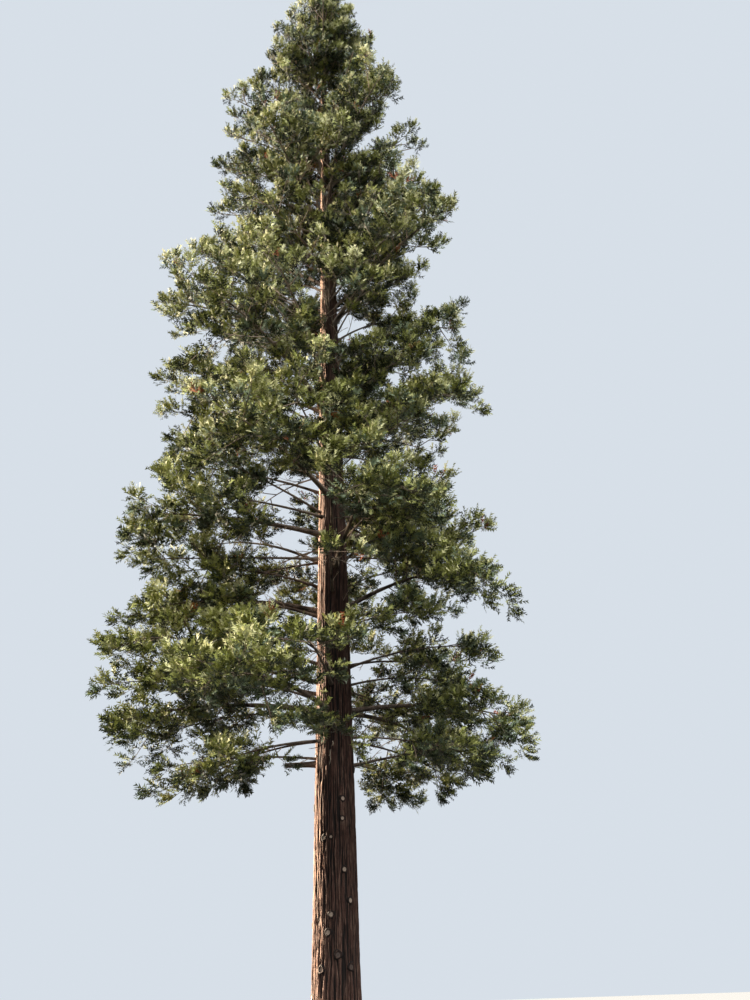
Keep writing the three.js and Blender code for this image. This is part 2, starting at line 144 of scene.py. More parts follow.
class NodeGraph:
    """A node tree under construction, for a shader or for geometry."""

    def __init__(self, tree: bpy.types.NodeTree) -> None:
        """Wrap a node tree."""
        self.tree = tree

    def add(self, kind: str, inputs: dict[str, Any] | None = None, **settings: Any) -> bpy.types.Node:
        """Add a node.

        Args:
            kind: Blender's name of the node type.
            inputs: Input names or identifiers, each with a value, or with the output socket that feeds it.
            **settings: The node's own properties, set before its inputs.

        Returns:
            The new node.
        """
        node = self.tree.nodes.new(kind)
        for name, value in settings.items():
            setattr(node, name, value)
        for name, value in (inputs or {}).items():
            socket = self.find(node.inputs, name)
            if isinstance(value, bpy.types.NodeSocket):
                self.tree.links.new(value, socket)
            else:
                socket.default_value = value
        return node

    @staticmethod
    def find(sockets: Sequence[bpy.types.NodeSocket], name: str) -> bpy.types.NodeSocket:
        """Find a socket by its identifier, or by its name among those in use.

        Args:
            sockets: A node's inputs or outputs.
            name: The identifier or name.

        Returns:
            The socket.
        """
        for socket in sockets:
            if socket.identifier == name:
                return socket
        return next(socket for socket in sockets if socket.name == name and socket.enabled)

    def math(self, operation: str, first: Any, second: Any = 0.0) -> bpy.types.NodeSocket:
        """Work out one step of arithmetic and give the result's socket."""
        inputs = {"Value": first, "Value_001": second}
        return self.add("ShaderNodeMath", inputs, operation=operation).outputs[0]

    def mix(self, factor: Any, first: Any, second: Any, blend: str = "MIX") -> bpy.types.NodeSocket:
        """Mix two colours and give the result's socket."""
        inputs = {"Factor_Float": factor, "A_Color": first, "B_Color": second}
        node = self.add("ShaderNodeMix", inputs, data_type="RGBA", blend_type=blend)
        return self.find(node.outputs, "Result_Color")

    def remap(self, value: bpy.types.NodeSocket, low: float, high: float) -> bpy.types.NodeSocket:
        """Stretch the range from low to high over 0 to 1, clamped, and give the result's socket."""
        return self.add("ShaderNodeMapRange", {"Value": value, "From Min": low, "From Max": high}).outputs[0]

    def coordinates(self, kind: str = "Object") -> bpy.types.NodeSocket:
        """Give the socket of a kind of texture coordinates."""
        return self.add("ShaderNodeTexCoord").outputs[kind]

    def height(self, place: bpy.types.NodeSocket) -> bpy.types.NodeSocket:
        """Give the socket of the upright part of a place."""
        return self.add("ShaderNodeSeparateXYZ", {"Vector": place}).outputs["Z"]

    def attribute(self, name: str) -> bpy.types.NodeSocket:
        """Give the socket of a number that the mesh stores."""
        return self.add("ShaderNodeAttribute", attribute_name=name).outputs["Fac"]

    def noise(self, place: Any, scale: Any, detail: float, roughness: float = 0.5) -> bpy.types.NodeSocket:
        """Add a noise texture and give its value's socket."""
        inputs = {"Vector": place, "Scale": scale, "Detail": detail, "Roughness": roughness}
        return self.add("ShaderNodeTexNoise", inputs).outputs[0]

    def bump(self, height: bpy.types.NodeSocket, strength: float, distance: float) -> bpy.types.NodeSocket:
        """Turn a height into relief and give its normal's socket."""
        inputs = {"Height": height, "Strength": strength, "Distance": distance}
        return self.add("ShaderNodeBump", inputs).outputs["Normal"]

    def surface(self, colour: Any, roughness: float, **inputs: Any) -> None:
        """Put a Principled shader on the material's output.

        Args:
            colour: Its base colour, or the socket that feeds it.
            roughness: Its roughness.
            **inputs: Its specular level and its relief's normal, where they aren't the plain ones.
        """
        names = {"specular": "Specular IOR Level", "normal": "Normal"}
        values = {"Base Color": colour, "Roughness": roughness}
        values.update((names[key], value) for key, value in inputs.items())
        shader = self.add("ShaderNodeBsdfPrincipled", values)
        self.add("ShaderNodeOutputMaterial", {"Surface": shader.outputs["BSDF"]})


def opaque(colour: Colour) -> tuple[float, float, float, float]:
    """Give a colour its alpha."""
    return (*colour, 1.0)


WHITE = (1.0, 1.0, 1.0, 1.0)


def grain_group() -> bpy.types.NodeTree:
    """Build the shared node group of woody grain, or give the one already built.

    Returns:
        A group with inputs Scale and Stretch and outputs Fibre, Patches and Mottle, each from 0 to 1.
    """
    name = "woody_grain"
    if name in bpy.data.node_groups:
        return bpy.data.node_groups[name]
    tree = bpy.data.node_groups.new(name, "ShaderNodeTree")
    for way, names in (("INPUT", ("Scale", "Stretch")), ("OUTPUT", ("Fibre", "Patches", "Mottle"))):
        for socket in names:
            tree.interface.new_socket(socket, in_out=way, socket_type="NodeSocketFloat")
    graph = NodeGraph(tree)
    given = graph.add("NodeGroupInput").outputs
    place = graph.coordinates()
    along = graph.add("ShaderNodeCombineXYZ", {"X": 1.0, "Y": 1.0, "Z": given["Stretch"]}).outputs[0]
    product = graph.add("ShaderNodeVectorMath", {"Vector": place, "Vector_001": along}, operation="MULTIPLY")
    squeezed = product.outputs[0]
    outputs = {
        "Fibre": graph.remap(graph.noise(squeezed, given["Scale"], 5.0, 0.65), 0.3, 0.7),
        "Patches": graph.remap(graph.noise(squeezed, 7.0, 4.0), 0.38, 0.62),
        "Mottle": graph.remap(graph.noise(place, 9.0, 4.0, 0.6), 0.3, 0.7),
    }
    graph.add("NodeGroupOutput", outputs)
    return tree


def woody_grain(graph: NodeGraph, scale: float, stretch: float) -> tuple[bpy.types.NodeSocket, ...]:
    """Add the woody grain to a graph and give the sockets of its fibre, patches and mottle."""
    inputs = {"Scale": scale, "Stretch": stretch}
    return tuple(graph.add("ShaderNodeGroup", inputs, node_tree=grain_group()).outputs)


def new_material(name: str) -> tuple[bpy.types.Material, NodeGraph]:
    """Make a material with no nodes yet.

    Args:
        name: The material's name.

    Returns:
        The material and its graph.
    """
    material = bpy.data.materials.new(name)
    material.use_nodes = True
    material.node_tree.nodes.clear()
    return material, NodeGraph(material.node_tree)


@dataclass(frozen=True)
class BarkFinish:
    """Furrowed fibrous bark, which pales between two heights.

    The mesh's furrow attribute says how deep each point lies, from 0 to 1; by it shade is painted into the
    deep parts.
    """

    name: str
    ridge: Colour
    weathered: Colour
    # Painted shade: the dark colour that the deep parts of the bark are mixed toward.
    furrow: Colour
    fibre_scale: float
    stretch: float
    bump: float
    pale_from: float = 9.0
    pale_to: float = 15.0
    paling: float = 0.75
    dark_mottle: Colour = (0.4, 0.36, 0.35)
    mottling: float = 0.6
    streak_range: tuple[float, float] = (0.45, 0.85)
    patch_range: tuple[float, float] = (-0.5, 1.0)
    furrow_shade_range: tuple[float, float] = (0.15, 0.75)
    relief: float = 0.9
    roughness: float = 0.92
    specular: float = 0.2

    def material(self) -> bpy.types.Material:
        """Build the bark's material, or give the one already built.

        Returns:
            The material.
        """
        if self.name in bpy.data.materials:
            return bpy.data.materials[self.name]
        material, graph = new_material(self.name)
        fibre, patches, mottle = woody_grain(graph, self.fibre_scale, self.stretch)
        stain = graph.mix(mottle, opaque(self.dark_mottle), WHITE)
        body = graph.mix(self.mottling, opaque(self.ridge), stain, "MULTIPLY")
        fibres, areas = graph.remap(fibre, *self.streak_range), graph.remap(patches, *self.patch_range)
        streaked = graph.mix(graph.math("MULTIPLY", fibres, areas), body, opaque(self.weathered))
        # Higher up, the bark is mixed toward the paler streak colour.
        aloft = graph.remap(graph.height(graph.coordinates()), self.pale_from, self.pale_to)
        paled_aloft = graph.mix(graph.math("MULTIPLY", self.paling, aloft), streaked, opaque(self.weathered))
        # Painted shade: the deeper a point lies, the nearer it is painted to the dark furrow colour.
        furrow_shade = graph.remap(graph.attribute("furrow"), *self.furrow_shade_range)
        shaded = graph.mix(furrow_shade, paled_aloft, opaque(self.furrow))
        normal = graph.bump(fibre, self.relief, self.bump)
        graph.surface(shaded, self.roughness, specular=self.specular, normal=normal)
        return material


@dataclass(frozen=True)
class CutWoodFinish:
    """A sawn end of a limb: rings round a pith, greyed by weather.

    The mesh's ring attribute is each point's distance from the pith.
    """

    name: str
    early: Colour
    late: Colour
    stain: Colour = (0.5, 0.45, 0.4)
    staining: float = 0.5
    ring_scale: float = 700.0
    late_range: tuple[float, float] = (-0.6, 1.0)
    fibre_scale: float = 120.0
    stretch: float = 1.0
    relief: float = 0.5
    bump: float = 0.002
    roughness: float = 0.85

    def material(self) -> bpy.types.Material:
        """Build the cut wood's material.

        Returns:
            The material.
        """
        material, graph = new_material(self.name)
        fibre, _, mottle = woody_grain(graph, self.fibre_scale, self.stretch)
        wave = graph.math("SINE", graph.math("MULTIPLY", graph.attribute("ring"), self.ring_scale))
        colour = graph.mix(graph.remap(wave, *self.late_range), opaque(self.early), opaque(self.late))
        stain = graph.mix(mottle, opaque(self.stain), WHITE)
        greyed = graph.mix(self.staining, colour, stain, "MULTIPLY")
        graph.surface(greyed, self.roughness, normal=graph.bump(fibre, self.relief, self.bump))
        return material


@dataclass(frozen=True)
class NeedleFinish:
    """Waxy needles of one tone, a little darker and lighter from place to place."""

    name: str
    base: Colour
    lighter: Colour
    roughness: float = 0.5
    specular: float = 0.22
    patch_scale: float = 6.0
    patch_detail: float = 2.0
    patch_range: tuple[float, float] = (0.35, 0.65)

    def material(self) -> bpy.types.Material:
        """Build the needles' material.

        Returns:
            The material.
        """
        material, graph = new_material(self.name)
        patches = graph.noise(graph.coordinates(), self.patch_scale, self.patch_detail)
        colour = graph.mix(graph.remap(patches, *self.patch_range), opaque(self.base), opaque(self.lighter))
        graph.surface(colour, self.roughness, specular=self.specular)
        return material


class Tone(Enum):
    """The tones of needles, dealt out by sprig: steps of painted shade and light, and russet for dead shoots.
    """

    SHADED = NeedleFinish("needles_shaded", (0.012, 0.018, 0.005), (0.022, 0.030, 0.009))
    BLUISH = NeedleFinish("needles_bluish", (0.118, 0.158, 0.090), (0.162, 0.204, 0.120))
    OLIVE = NeedleFinish("needles_olive", (0.155, 0.166, 0.042), (0.205, 0.214, 0.058))
    FRESH = NeedleFinish("needles_fresh", (0.240, 0.262, 0.066), (0.310, 0.330, 0.092))
    SUNLIT = NeedleFinish("needles_sunlit", (0.400, 0.400, 0.190), (0.520, 0.510, 0.270))
    RUSSET = NeedleFinish("needles_russet", (0.260, 0.072, 0.028), (0.340, 0.110, 0.045), 0.7)


TONES = tuple(Tone)

TRUNK_BARK = BarkFinish(
    "redwood_bark", (0.046, 0.021, 0.015), (0.150, 0.092, 0.067), (0.005, 0.003, 0.0025), 62.0, 0.06, 0.016
)
BOUGH_BARK = BarkFinish(
    "bough_bark", (0.110, 0.080, 0.060), (0.280, 0.225, 0.180), (0.030, 0.021, 0.016), 60.0, 0.6, 0.006
)
PALE_WOOD = BarkFinish(
    "bare_dead_wood", (0.34, 0.27, 0.20), (0.42, 0.36, 0.29), (0.12, 0.08, 0.06), 80.0, 0.5, 0.003
)
CUT_WOOD = CutWoodFinish("weathered_cut_wood", (0.28, 0.215, 0.165), (0.17, 0.13, 0.10))
KNOT_WOOD = CutWoodFinish("dark_knot", (0.045, 0.027, 0.020), (0.022, 0.013, 0.010))


def linked(name: str, data: bpy.types.ID) -> bpy.types.Object:
    """Make an object of a mesh, a lamp or a camera and link it to the scene."""
    made = bpy.data.objects.new(name, data)
    bpy.context.scene.collection.objects.link(made)
    return made


def set_attribute(mesh: bpy.types.Mesh, name: str, values: Array) -> None:
    """Store a number or a vector for each vertex.

    Args:
        mesh: The mesh.
        name: The attribute's name.
        values: One number or vector a row.
    """
    kind, key = ("FLOAT_VECTOR", "vector") if values.ndim == 2 else ("FLOAT", "value")
    mesh.attributes.new(name, kind, "POINT").data.foreach_set(key, values.ravel())


def mesh_object(
    name: str,
    points: Array,
    faces: Sequence[Face] = (),
    materials: Sequence[bpy.types.Material] = (),
    smooth: bool = True,
    edges: Sequence[tuple[int, int]] = (),
    **attributes: Array,
) -> bpy.types.Object:
    """Make an object at the origin from points, faces and loose edges.

    Args:
        name: The object's name.
        points: Its vertices, one a row.
        faces: Its faces, as rows of vertex numbers.
        materials: Its material slots.
        smooth: Whether its faces are shaded smooth.
        edges: Its loose edges, as pairs of vertex numbers.
        **attributes: What each vertex stores, a number or a vector a row.

    Returns:
        The linked object.
    """
    mesh = bpy.data.meshes.new(name)
    mesh.from_pydata(points.tolist(), edges, faces)
    mesh.polygons.foreach_set("use_smooth", [smooth] * len(mesh.polygons))
    for material in materials:
        mesh.materials.append(material)
    for attribute, values in attributes.items():
        set_attribute(mesh, attribute, values)
    mesh.update()
    return linked(name, mesh)


def fit_piece(piece: bpy.types.Object, slot: str, nodes: Sequence[str]) -> None:
    """Hang a finished piece on the root and hide the nodes that it stands for.

    Args:
        piece: The piece.
        slot: Its material slot in the record. It is not used.
        nodes: The nodes that it replaces.
    """
    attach(piece, "root")
    if nodes:
        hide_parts(*nodes)
    log.info("%s: %d faces, %d nodes replaced", piece.name, len(piece.data.polygons), len(nodes))


def band_faces(rings: int, sides: int, first: int = 0) -> list[Face]:
    """Give the faces of a skin over rings of points, open at both ends.

    Args:
        rings: How many rings there are.
        sides: How many points each has.
        first: The number of their first point.

    Returns:
        The faces, ring by ring.
    """
    faces: list[Face] = []
    for low in range(first, first + (rings - 1) * sides, sides):
        for side in range(sides):
            after = (side + 1) % sides
            faces.append((low + side, low + after, low + sides + after, low + sides + side))
    return faces


def swept_faces(rings: int, sides: int) -> list[Face]:
    """Give the faces of a closed skin over rings of points, with a cap on each end."""
    foot, top = range(sides), range((rings - 1) * sides, rings * sides)
    return [*band_faces(rings, sides), tuple(reversed(foot)), tuple(top)]


@dataclass(frozen=True)
class Tier:
    """One tier of limbs. Heights and reaches are in metres, bearings and slopes in degrees.

    Every second limb is raised by the stagger and turned by the skew.
    """

    height: float
    reach: float
    limbs: int
    bearing: float
    stagger: float
    skew: float
    leaving: float
    arriving: float


TIERS = (
    Tier(6.35, 4.60, 4, 184, 0.00, -36, 12, -14),
    Tier(8.25, 4.40, 4, 158, 0.85, 34, 26, -8),
    Tier(9.90, 4.35, 4, 192, 0.85, -40, 12, -4),
    Tier(11.70, 4.20, 4, 155, 0.85, -8, 36, 0),
    Tier(13.90, 4.15, 4, 182, 0.85, 38, 42, 6),
    Tier(15.90, 3.45, 4, 150, 0.85, 0, 46, 10),
    Tier(17.70, 3.10, 3, 155, 0.85, 25, 50, 12),
    Tier(19.25, 2.75, 3, 196, 0.85, 14, 54, 16),
    Tier(20.80, 2.00, 3, 150, 0.85, 0, 62, 30),
)
BOUGH_TIERS = 6


class LimbLine:
    """The middle line of a limb, measured along its length."""

    HEADING_STEP = 0.03
    STRIDES = 12

    def __init__(self, points: Array) -> None:
        """Measure the line through some points."""
        self.points = points
        self.marks = np.concatenate([[0.0], np.cumsum(np.linalg.norm(np.diff(points, axis=0), axis=1))])
        self.length = float(self.marks[-1])

    @classmethod
    def sloping(
        cls, start: Array, bearing: float, leaving: float, arriving: float, reach: float
    ) -> "LimbLine":
        """Draw a limb's line, which leaves at one slope and arrives at another.

        Args:
            start: Where it leaves the trunk's middle.
            bearing: Its bearing in degrees.
            leaving: Its slope there in degrees.
            arriving: Its slope at the tip in degrees.
            reach: How far it gets on the level.

        Returns:
            The line.
        """
        points = [start]
        for step in range(cls.STRIDES):
            slope = leaving + (arriving - leaving) * (step + 0.5) / cls.STRIDES
            stride = reach / cls.STRIDES / math.cos(math.radians(slope))
            points.append(points[-1] + direction(bearing, slope) * stride)
        return cls(np.array(points))

    def at(self, share: float) -> Array:
        """Give the point at a share of the length."""
        mark = share * self.length
        return np.array([np.interp(mark, self.marks, self.points[:, axis]) for axis in range(3)])

    def heading(self, share: float) -> Array:
        """Give the line's unit heading at a share of the length."""
        low, high = max(0.0, share - self.HEADING_STEP), min(1.0, share + self.HEADING_STEP)
        return unit(self.at(high) - self.at(low))


@dataclass
class Stem:
    """A woody line with its radii and its foliage.

    Buried is the share of it inside the trunk, and foliage grows from another share on, with some side twigs.
    Overlap is how far that foliage may pass the border of the next mass.
    """

    line: LimbLine
    root_radius: float
    tip_radius: float
    buried: float
    foliage_from: float = 1.0
    twigs: int = 0
    overlap: float = 0.25


@dataclass(frozen=True)
class Beside:
    """How a thinner limb differs from the main one beside it, in metres and degrees.

    Its level reach is drawn between two shares of the main limb's.
    """

    lift: float
    turn: float
    leaving: float
    arriving: float
    least: float = 0.68
    most: float = 0.92


@dataclass
class Limb:
    """One limb of the crown: its main stem, the lesser stems beside it, and the space of its foliage.

    Its level is how far its main line gets on the level, and its reach is how far its foliage may get.
    """

    name: str
    tier: int
    main: Stem
    reach: float
    spray_size: float
    seed: int
    height: float = 0.0
    bearing: float = 0.0
    level: float = 0.0
    is_leader: bool = False
    lesser: list[Stem] = field(default_factory=list)

    @property
    def centre(self) -> Array:
        """Give the middle of the stem's leafy part."""
        return self.main.line.at((self.main.foliage_from + 1) / 2)

    @property
    def has_bough(self) -> bool:
        """Say whether the limb is bare near the trunk."""
        return self.main.foliage_from > 0

    @property
    def foliage_node(self) -> str:
        """Name the foliage mass of this limb."""
        return f"foliage_{self.name}"

    @property
    def bough_node(self) -> str:
        """Name the bare bough of this limb."""
        return f"bough_{self.name}"

    def stems(self) -> Iterator[Stem]:
        """Give the main stem, then the lesser ones."""
        yield self.main
        yield from self.lesser


@dataclass
class Scar:
    """The mark of a pruned limb on the trunk. The bearing is in degrees from +X towards +Y."""

    height: float
    bearing: float
    radius: float
    dark: bool = False


@dataclass
class Trunk:
    """The trunk: a straight taper with a lobed flare at its foot, under furrowed bark.

    A furrow's width is a share of the gap to the next one. A crack runs where its noise is near 0, and its
    width is how near.
    """

    top: float = 23.3
    foot_radius: float = 0.435
    vanishing_height: float = 25.6
    sway: float = 0.06
    limb_root_depth: float = 0.05
    flare_radius: float = 0.17
    flare_height: float = 0.5
    flare_lobes: int = 5
    flare_lobe_depth: float = 0.3
    sides: int = 360
    seen_height: float = 7.0
    low_rings: int = 160
    high_rings: int = 100
    furrows: int = 35
    furrow_run: float = 1.7
    furrow_swing: float = 0.9
    swing_waves: float = 2.5
    furrow_shiver: float = 0.8
    shiver_waves: float = 11.0
    shiver_run_share: float = 0.4
    furrow_fullness: float = 0.85
    fullness_change: float = 0.7
    fullness_waves: float = 9.0
    fullness_run_share: float = 0.3
    fullness_shift: float = 5.0
    furrow_width: float = 0.40
    furrow_depth: float = 0.034
    crack_gap: float = 0.021
    crack_run: float = 0.30
    crack_width: float = 0.16
    crack_depth: float = 0.012
    crack_shade: float = 0.35
    ridge_rise: float = 0.011
    thinning: float = 0.7

    def radius(self, height: float) -> float:
        """Give the bare taper's radius at a height."""
        return self.foot_radius * (1 - height / self.vanishing_height)

    def middle(self, height: float) -> Array:
        """Give the middle of the trunk at a height."""
        return np.array([self.sway * math.sin(math.pi * height / self.top), 0.0, height])

    def buried(self, line: LimbLine) -> float:
        """Give the share of a limb's line that lies well inside the trunk."""
        return max(0.0, self.radius(line.at(0)[2]) - self.limb_root_depth) / line.length

    def skin(self, height: float, angle: float) -> float:
        """Give the radius at a height and an angle in radians, with the flare of the foot."""
        lobe = 1 + self.flare_lobe_depth * math.cos(self.flare_lobes * angle)
        return self.radius(height) + self.flare_radius * math.exp(-height / self.flare_height) * lobe

    @staticmethod
    def ripple(height: float, angle: float, waves: float, run: float, shift: float = 0.0) -> float:
        """Give smooth noise at a point of the trunk's surface.

        Args:
            height: The height above the ground.
            angle: The angle round the trunk in radians.
            waves: How closely it changes round the trunk.
            run: Over how many metres it changes up the trunk.
            shift: Which other noise of the same kind it is.

        Returns:
            The noise, from about -1 to 1.
        """
        east, north = math.cos(angle) * waves, math.sin(angle) * waves
        return noise.noise(Vector((east + shift, north, height / run)))

    def furrow(self, height: float, angle: float) -> tuple[float, float]:
        """Give how deep the bark lies at a point.

        Args:
            height: The height above the ground.
            angle: The angle round the trunk in radians.

        Returns:
            The main furrow's share of its depth and the fine crack's, each from 0 to 1.
        """
        swing = self.ripple(height, angle, self.swing_waves, self.furrow_run)
        shiver = self.ripple(height, angle, self.shiver_waves, self.shiver_run_share * self.furrow_run)
        place = angle / math.tau * self.furrows + self.furrow_swing * swing + self.furrow_shiver * shiver
        gap = 2 * abs(place - round(place))
        run = self.fullness_run_share * self.furrow_run
        change = self.ripple(height, angle, self.fullness_waves, run, self.fullness_shift)
        fullness = self.furrow_fullness + self.fullness_change * change
        main = min(1.0, fullness * math.exp(-((gap / self.furrow_width) ** 2)))
        fine = self.ripple(height, angle, self.radius(height) / self.crack_gap, self.crack_run)
        return main, math.exp(-((fine / self.crack_width) ** 2))

    def ring_heights(self) -> Array:
        """Give the heights of the bark's rings, close together as far up as the bark is seen well."""
        low = np.linspace(0, self.seen_height, self.low_rings, endpoint=False)
        return np.concatenate([low, np.linspace(self.seen_height, self.top, self.high_rings)])

    def bark(self) -> bpy.types.Object:
        """Build the trunk's bark as one closed mesh with its furrows in the surface.

        Returns:
            The piece.
        """
        points, shade_depths = [], []
        for height in self.ring_heights():
            middle = self.middle(height)
            shallow = (self.radius(height) / self.foot_radius) ** self.thinning
            for side in range(self.sides):
                angle = side / self.sides * math.tau
                main, fine = self.furrow(height, angle)
                sunk = self.furrow_depth * main + self.crack_depth * fine * (1 - main)
                radius = self.skin(height, angle) + (self.ridge_rise - sunk) * shallow
                points.append(middle + radius * np.array([math.cos(angle), math.sin(angle), 0.0]))
                # Painted shade: each point is darkened by its furrow and, less, by its fine crack.
                shade_depths.append(min(1.0, main + self.crack_shade * fine))
        faces = swept_faces(self.low_rings + self.high_rings, self.sides)
        finish = [TRUNK_BARK.material()]
        bark = mesh_object("trunk_bark", np.array(points), faces, finish, furrow=np.array(shade_depths))
        for cap in (len(faces) - 2, len(faces) - 1):
            bark.data.polygons[cap].use_smooth = False
        return bark


@dataclass
class PruningScars:
    """The marks of pruned limbs on the trunk: each a collar of bark round a slightly sunk disc of wood.

    The profile lists a scar's rings from the outside in, each with its width and rise in radii of the scar.
    The collar's creases are painted dark as shade, and its crest rings less so.
    """

    trunk: Trunk
    profile: tuple[tuple[float, float], ...] = (
        (1.9, -0.45), (1.55, 0.15), (1.2, 0.42), (1.0, 0.36), (0.92, 0.16), (0.6, 0.18), (0.25, 0.2)
    )
    bark_bands: int = 4
    crest_rings: tuple[int, ...] = (2, 3)
    crest_shade: float = 0.5
    crease_shade: float = 0.95
    sides: int = 20
    raggedness: float = 0.12
    tallness: float = 1.1
    proud: float = 0.005
    hidden: int = 14
    hidden_from: float = 330.0
    hidden_arc: float = 240.0
    heights: tuple[float, float] = (1.6, 5.6)
    radii: tuple[float, float] = (0.030, 0.044)
    dark_share: float = 0.4
    seed: int = 71

    def scars(self) -> list[Scar]:
        """List the pruning marks: those on the viewer's side, and some like them on the others.

        Returns:
            The scars.
        """
        seen = [
            Scar(4.78, FRONT + 23, 0.035),
            Scar(4.44, FRONT + 21, 0.030),
            Scar(4.12, FRONT - 32, 0.032),
            Scar(4.13, FRONT - 11, 0.026),
            Scar(3.59, FRONT + 24, 0.037),
            Scar(3.09, FRONT + 40, 0.037),
            Scar(2.87, FRONT - 11, 0.037),
            Scar(2.59, FRONT - 19, 0.039),
            Scar(2.24, FRONT + 5, 0.044, True),
            Scar(2.02, FRONT - 37, 0.040, True),
            Scar(2.05, FRONT + 38, 0.042, True),
        ]
        stream = SeededStream(self.seed)
        more = [
            Scar(
                stream.between(*self.heights),
                self.hidden_from + stream.between(0, self.hidden_arc),
                stream.between(*self.radii),
                stream.draw() < self.dark_share,
            )
            for _ in range(self.hidden)
        ]
        return seen + more

    def rings(self, scar: Scar, number: int) -> Iterator[Array]:
        """Place the rings of one scar on the trunk.

        Args:
            scar: The scar.
            number: Its number, which turns its ragged edge.

        Yields:
            The points of each ring, from the outside in.
        """
        out = direction(scar.bearing, 0)
        base = self.trunk.middle(scar.height)
        base = base + out * (self.trunk.skin(scar.height, math.radians(scar.bearing)) + self.proud)
        aside = np.cross(UP, out)
        for wide, high in self.profile:
            ring = []
            for side in range(self.sides):
                turn = side / self.sides * math.tau
                ragged = 1 + self.raggedness * math.sin(3 * turn + number) * (wide > 1)
                radius = wide * scar.radius * ragged
                spot = base + out * high * scar.radius + aside * math.cos(turn) * radius
                ring.append(spot + UP * math.sin(turn) * radius * self.tallness)
            yield np.array(ring)

    def piece(self) -> bpy.types.Object:
        """Build the scars as one piece.

        Returns:
            The piece.
        """
        points: list[Array] = []
        faces: list[Face] = []
        slots: list[int] = []
        radii: list[float] = []
        shade_depths: list[float] = []
        count = len(self.profile)
        for number, scar in enumerate(self.scars()):
            first = number * count * self.sides
            points.extend(self.rings(scar, number))
            for row, (wide, _) in enumerate(self.profile):
                radii += [wide * scar.radius] * self.sides
                # Painted shade: the collar's creases are painted dark and its crest less so.
                shade_depths += [self.crest_shade if row in self.crest_rings else self.crease_shade] * self.sides
            end = first + count * self.sides
            faces += [*band_faces(count, self.sides, first), tuple(range(end - self.sides, end))]
            bark_faces = self.bark_bands * self.sides
            wood_faces = (count - 1 - self.bark_bands) * self.sides + 1
            slots += [0] * bark_faces + [2 if scar.dark else 1] * wood_faces
        finishes = [TRUNK_BARK.material(), CUT_WOOD.material(), KNOT_WOOD.material()]
        stored = {"ring": np.array(radii), "furrow": np.array(shade_depths)}
        made = mesh_object("pruning_scars", np.concatenate(points), faces, finishes, **stored)
        made.data.polygons.foreach_set("material_index", slots)
        return made


BESIDE = (Beside(0.42, 17, 6, 4), Beside(-0.45, -20, -14, -8), Beside(0.85, -11, 12, 8))
MORE_LIMBS = {
    "1_left": (
        Beside(-0.85, 14, -10, 4),
        Beside(0.75, 4, 6, 14, 0.97, 1.0),
        Beside(0.30, -7, 2, 10, 0.97, 1.0),
        Beside(0.52, -2, 4, 12, 0.95, 0.98),
        Beside(0.12, 24, 2, 2, 0.75, 0.85),
        Beside(-0.15, -17, 0, -2, 0.80, 0.90),
    ),
    "1_front_left": (Beside(-0.10, 17, -6, -4, 0.62, 0.70),),
    "1_right": (Beside(-1.05, -4, -5, 22),),
    "1_back_right": (Beside(-0.80, 8, -6, 2),),
    "2_left": (Beside(-0.10, 16, -4, 2, 0.95, 1.0),),
    "3_left": (Beside(-0.55, -6, -10, -4, 0.97, 1.0),),
    "4_back_left": (Beside(0.45, 20, -8, 4, 0.95, 1.0),),
    "5_left": (Beside(-0.75, -4, -16, -12, 0.95, 1.0), Beside(-0.30, 5, -8, -4, 0.90, 1.0)),
    "7_back_left": (Beside(0.20, 14, 0, 0, 0.97, 1.02), Beside(-0.40, 22, -22, -10, 0.95, 1.0)),
    "7_back_right": (Beside(1.00, -24, -6, -4, 0.97, 1.02),),
    "8_left": (Beside(-0.35, -8, -8, -4, 0.97, 1.02),),
    "8_front_right": (Beside(-0.90, 26, -14, -12, 0.98, 1.04),),
    "9_back_left": (Beside(0.45, 28, -6, 6, 0.95, 1.0),),
}


@dataclass(frozen=True)
class Opening:
    """A gap in the foliage on one side of the trunk, through which the trunk or the sky shows from below.

    Its two heights are those at the trunk, and they fall by a slope outward. Its middle lies an offset to the
    left of the line out from the trunk.
    """

    bearing: float
    low: float
    high: float
    fall: float
    offset: float
    half_width: float
    reach: float

    def holds(self, spot: Array) -> bool:
        """Say whether a spot lies in the gap.

        Args:
            spot: The spot.

        Returns:
            Whether the gap holds it.
        """
        out = direction(self.bearing, 0)
        along, aside = spot @ out, spot @ np.cross(UP, out)
        rise = spot[2] + self.fall * along
        is_across = abs(aside - self.offset) < self.half_width
        return bool(0 < along < self.reach and is_across and self.low < rise < self.high)


OPENINGS = (
    Opening(270, 8.5, 11.0, 0.40, 0.0, 0.50, 3.4),
    Opening(270, 6.7, 7.6, 0.30, 0.0, 0.45, 3.2),
    Opening(270, 8.9, 11.3, 0.42, -0.80, 0.45, 3.4),
    Opening(90, 8.9, 11.3, -0.42, 0.80, 0.45, 4.0),
    Opening(270, 14.5, 16.2, 0.69, 0.05, 0.40, 3.2),
    Opening(270, 18.2, 19.9, 0.88, 0.0, 0.40, 2.6),
    Opening(270, 4.2, 5.95, 0.20, -0.45, 0.75, 4.0),
    Opening(90, 4.2, 5.95, -0.20, 0.45, 0.75, 3.0),
)


OUTLINE_HEIGHTS = (5.0, 6.1, 6.9, 15.6, 16.0, 16.5, 18.2, 20.6, 20.95, 21.3, 22.4, 23.2, 23.9, 24.5, 25.3)
OUTLINE_REACHES = (4.05, 4.15, 4.60, 4.60, 4.10, 3.45, 3.10, 2.80, 2.70, 1.95, 1.65, 1.50, 1.15, 0.75, 0.05)


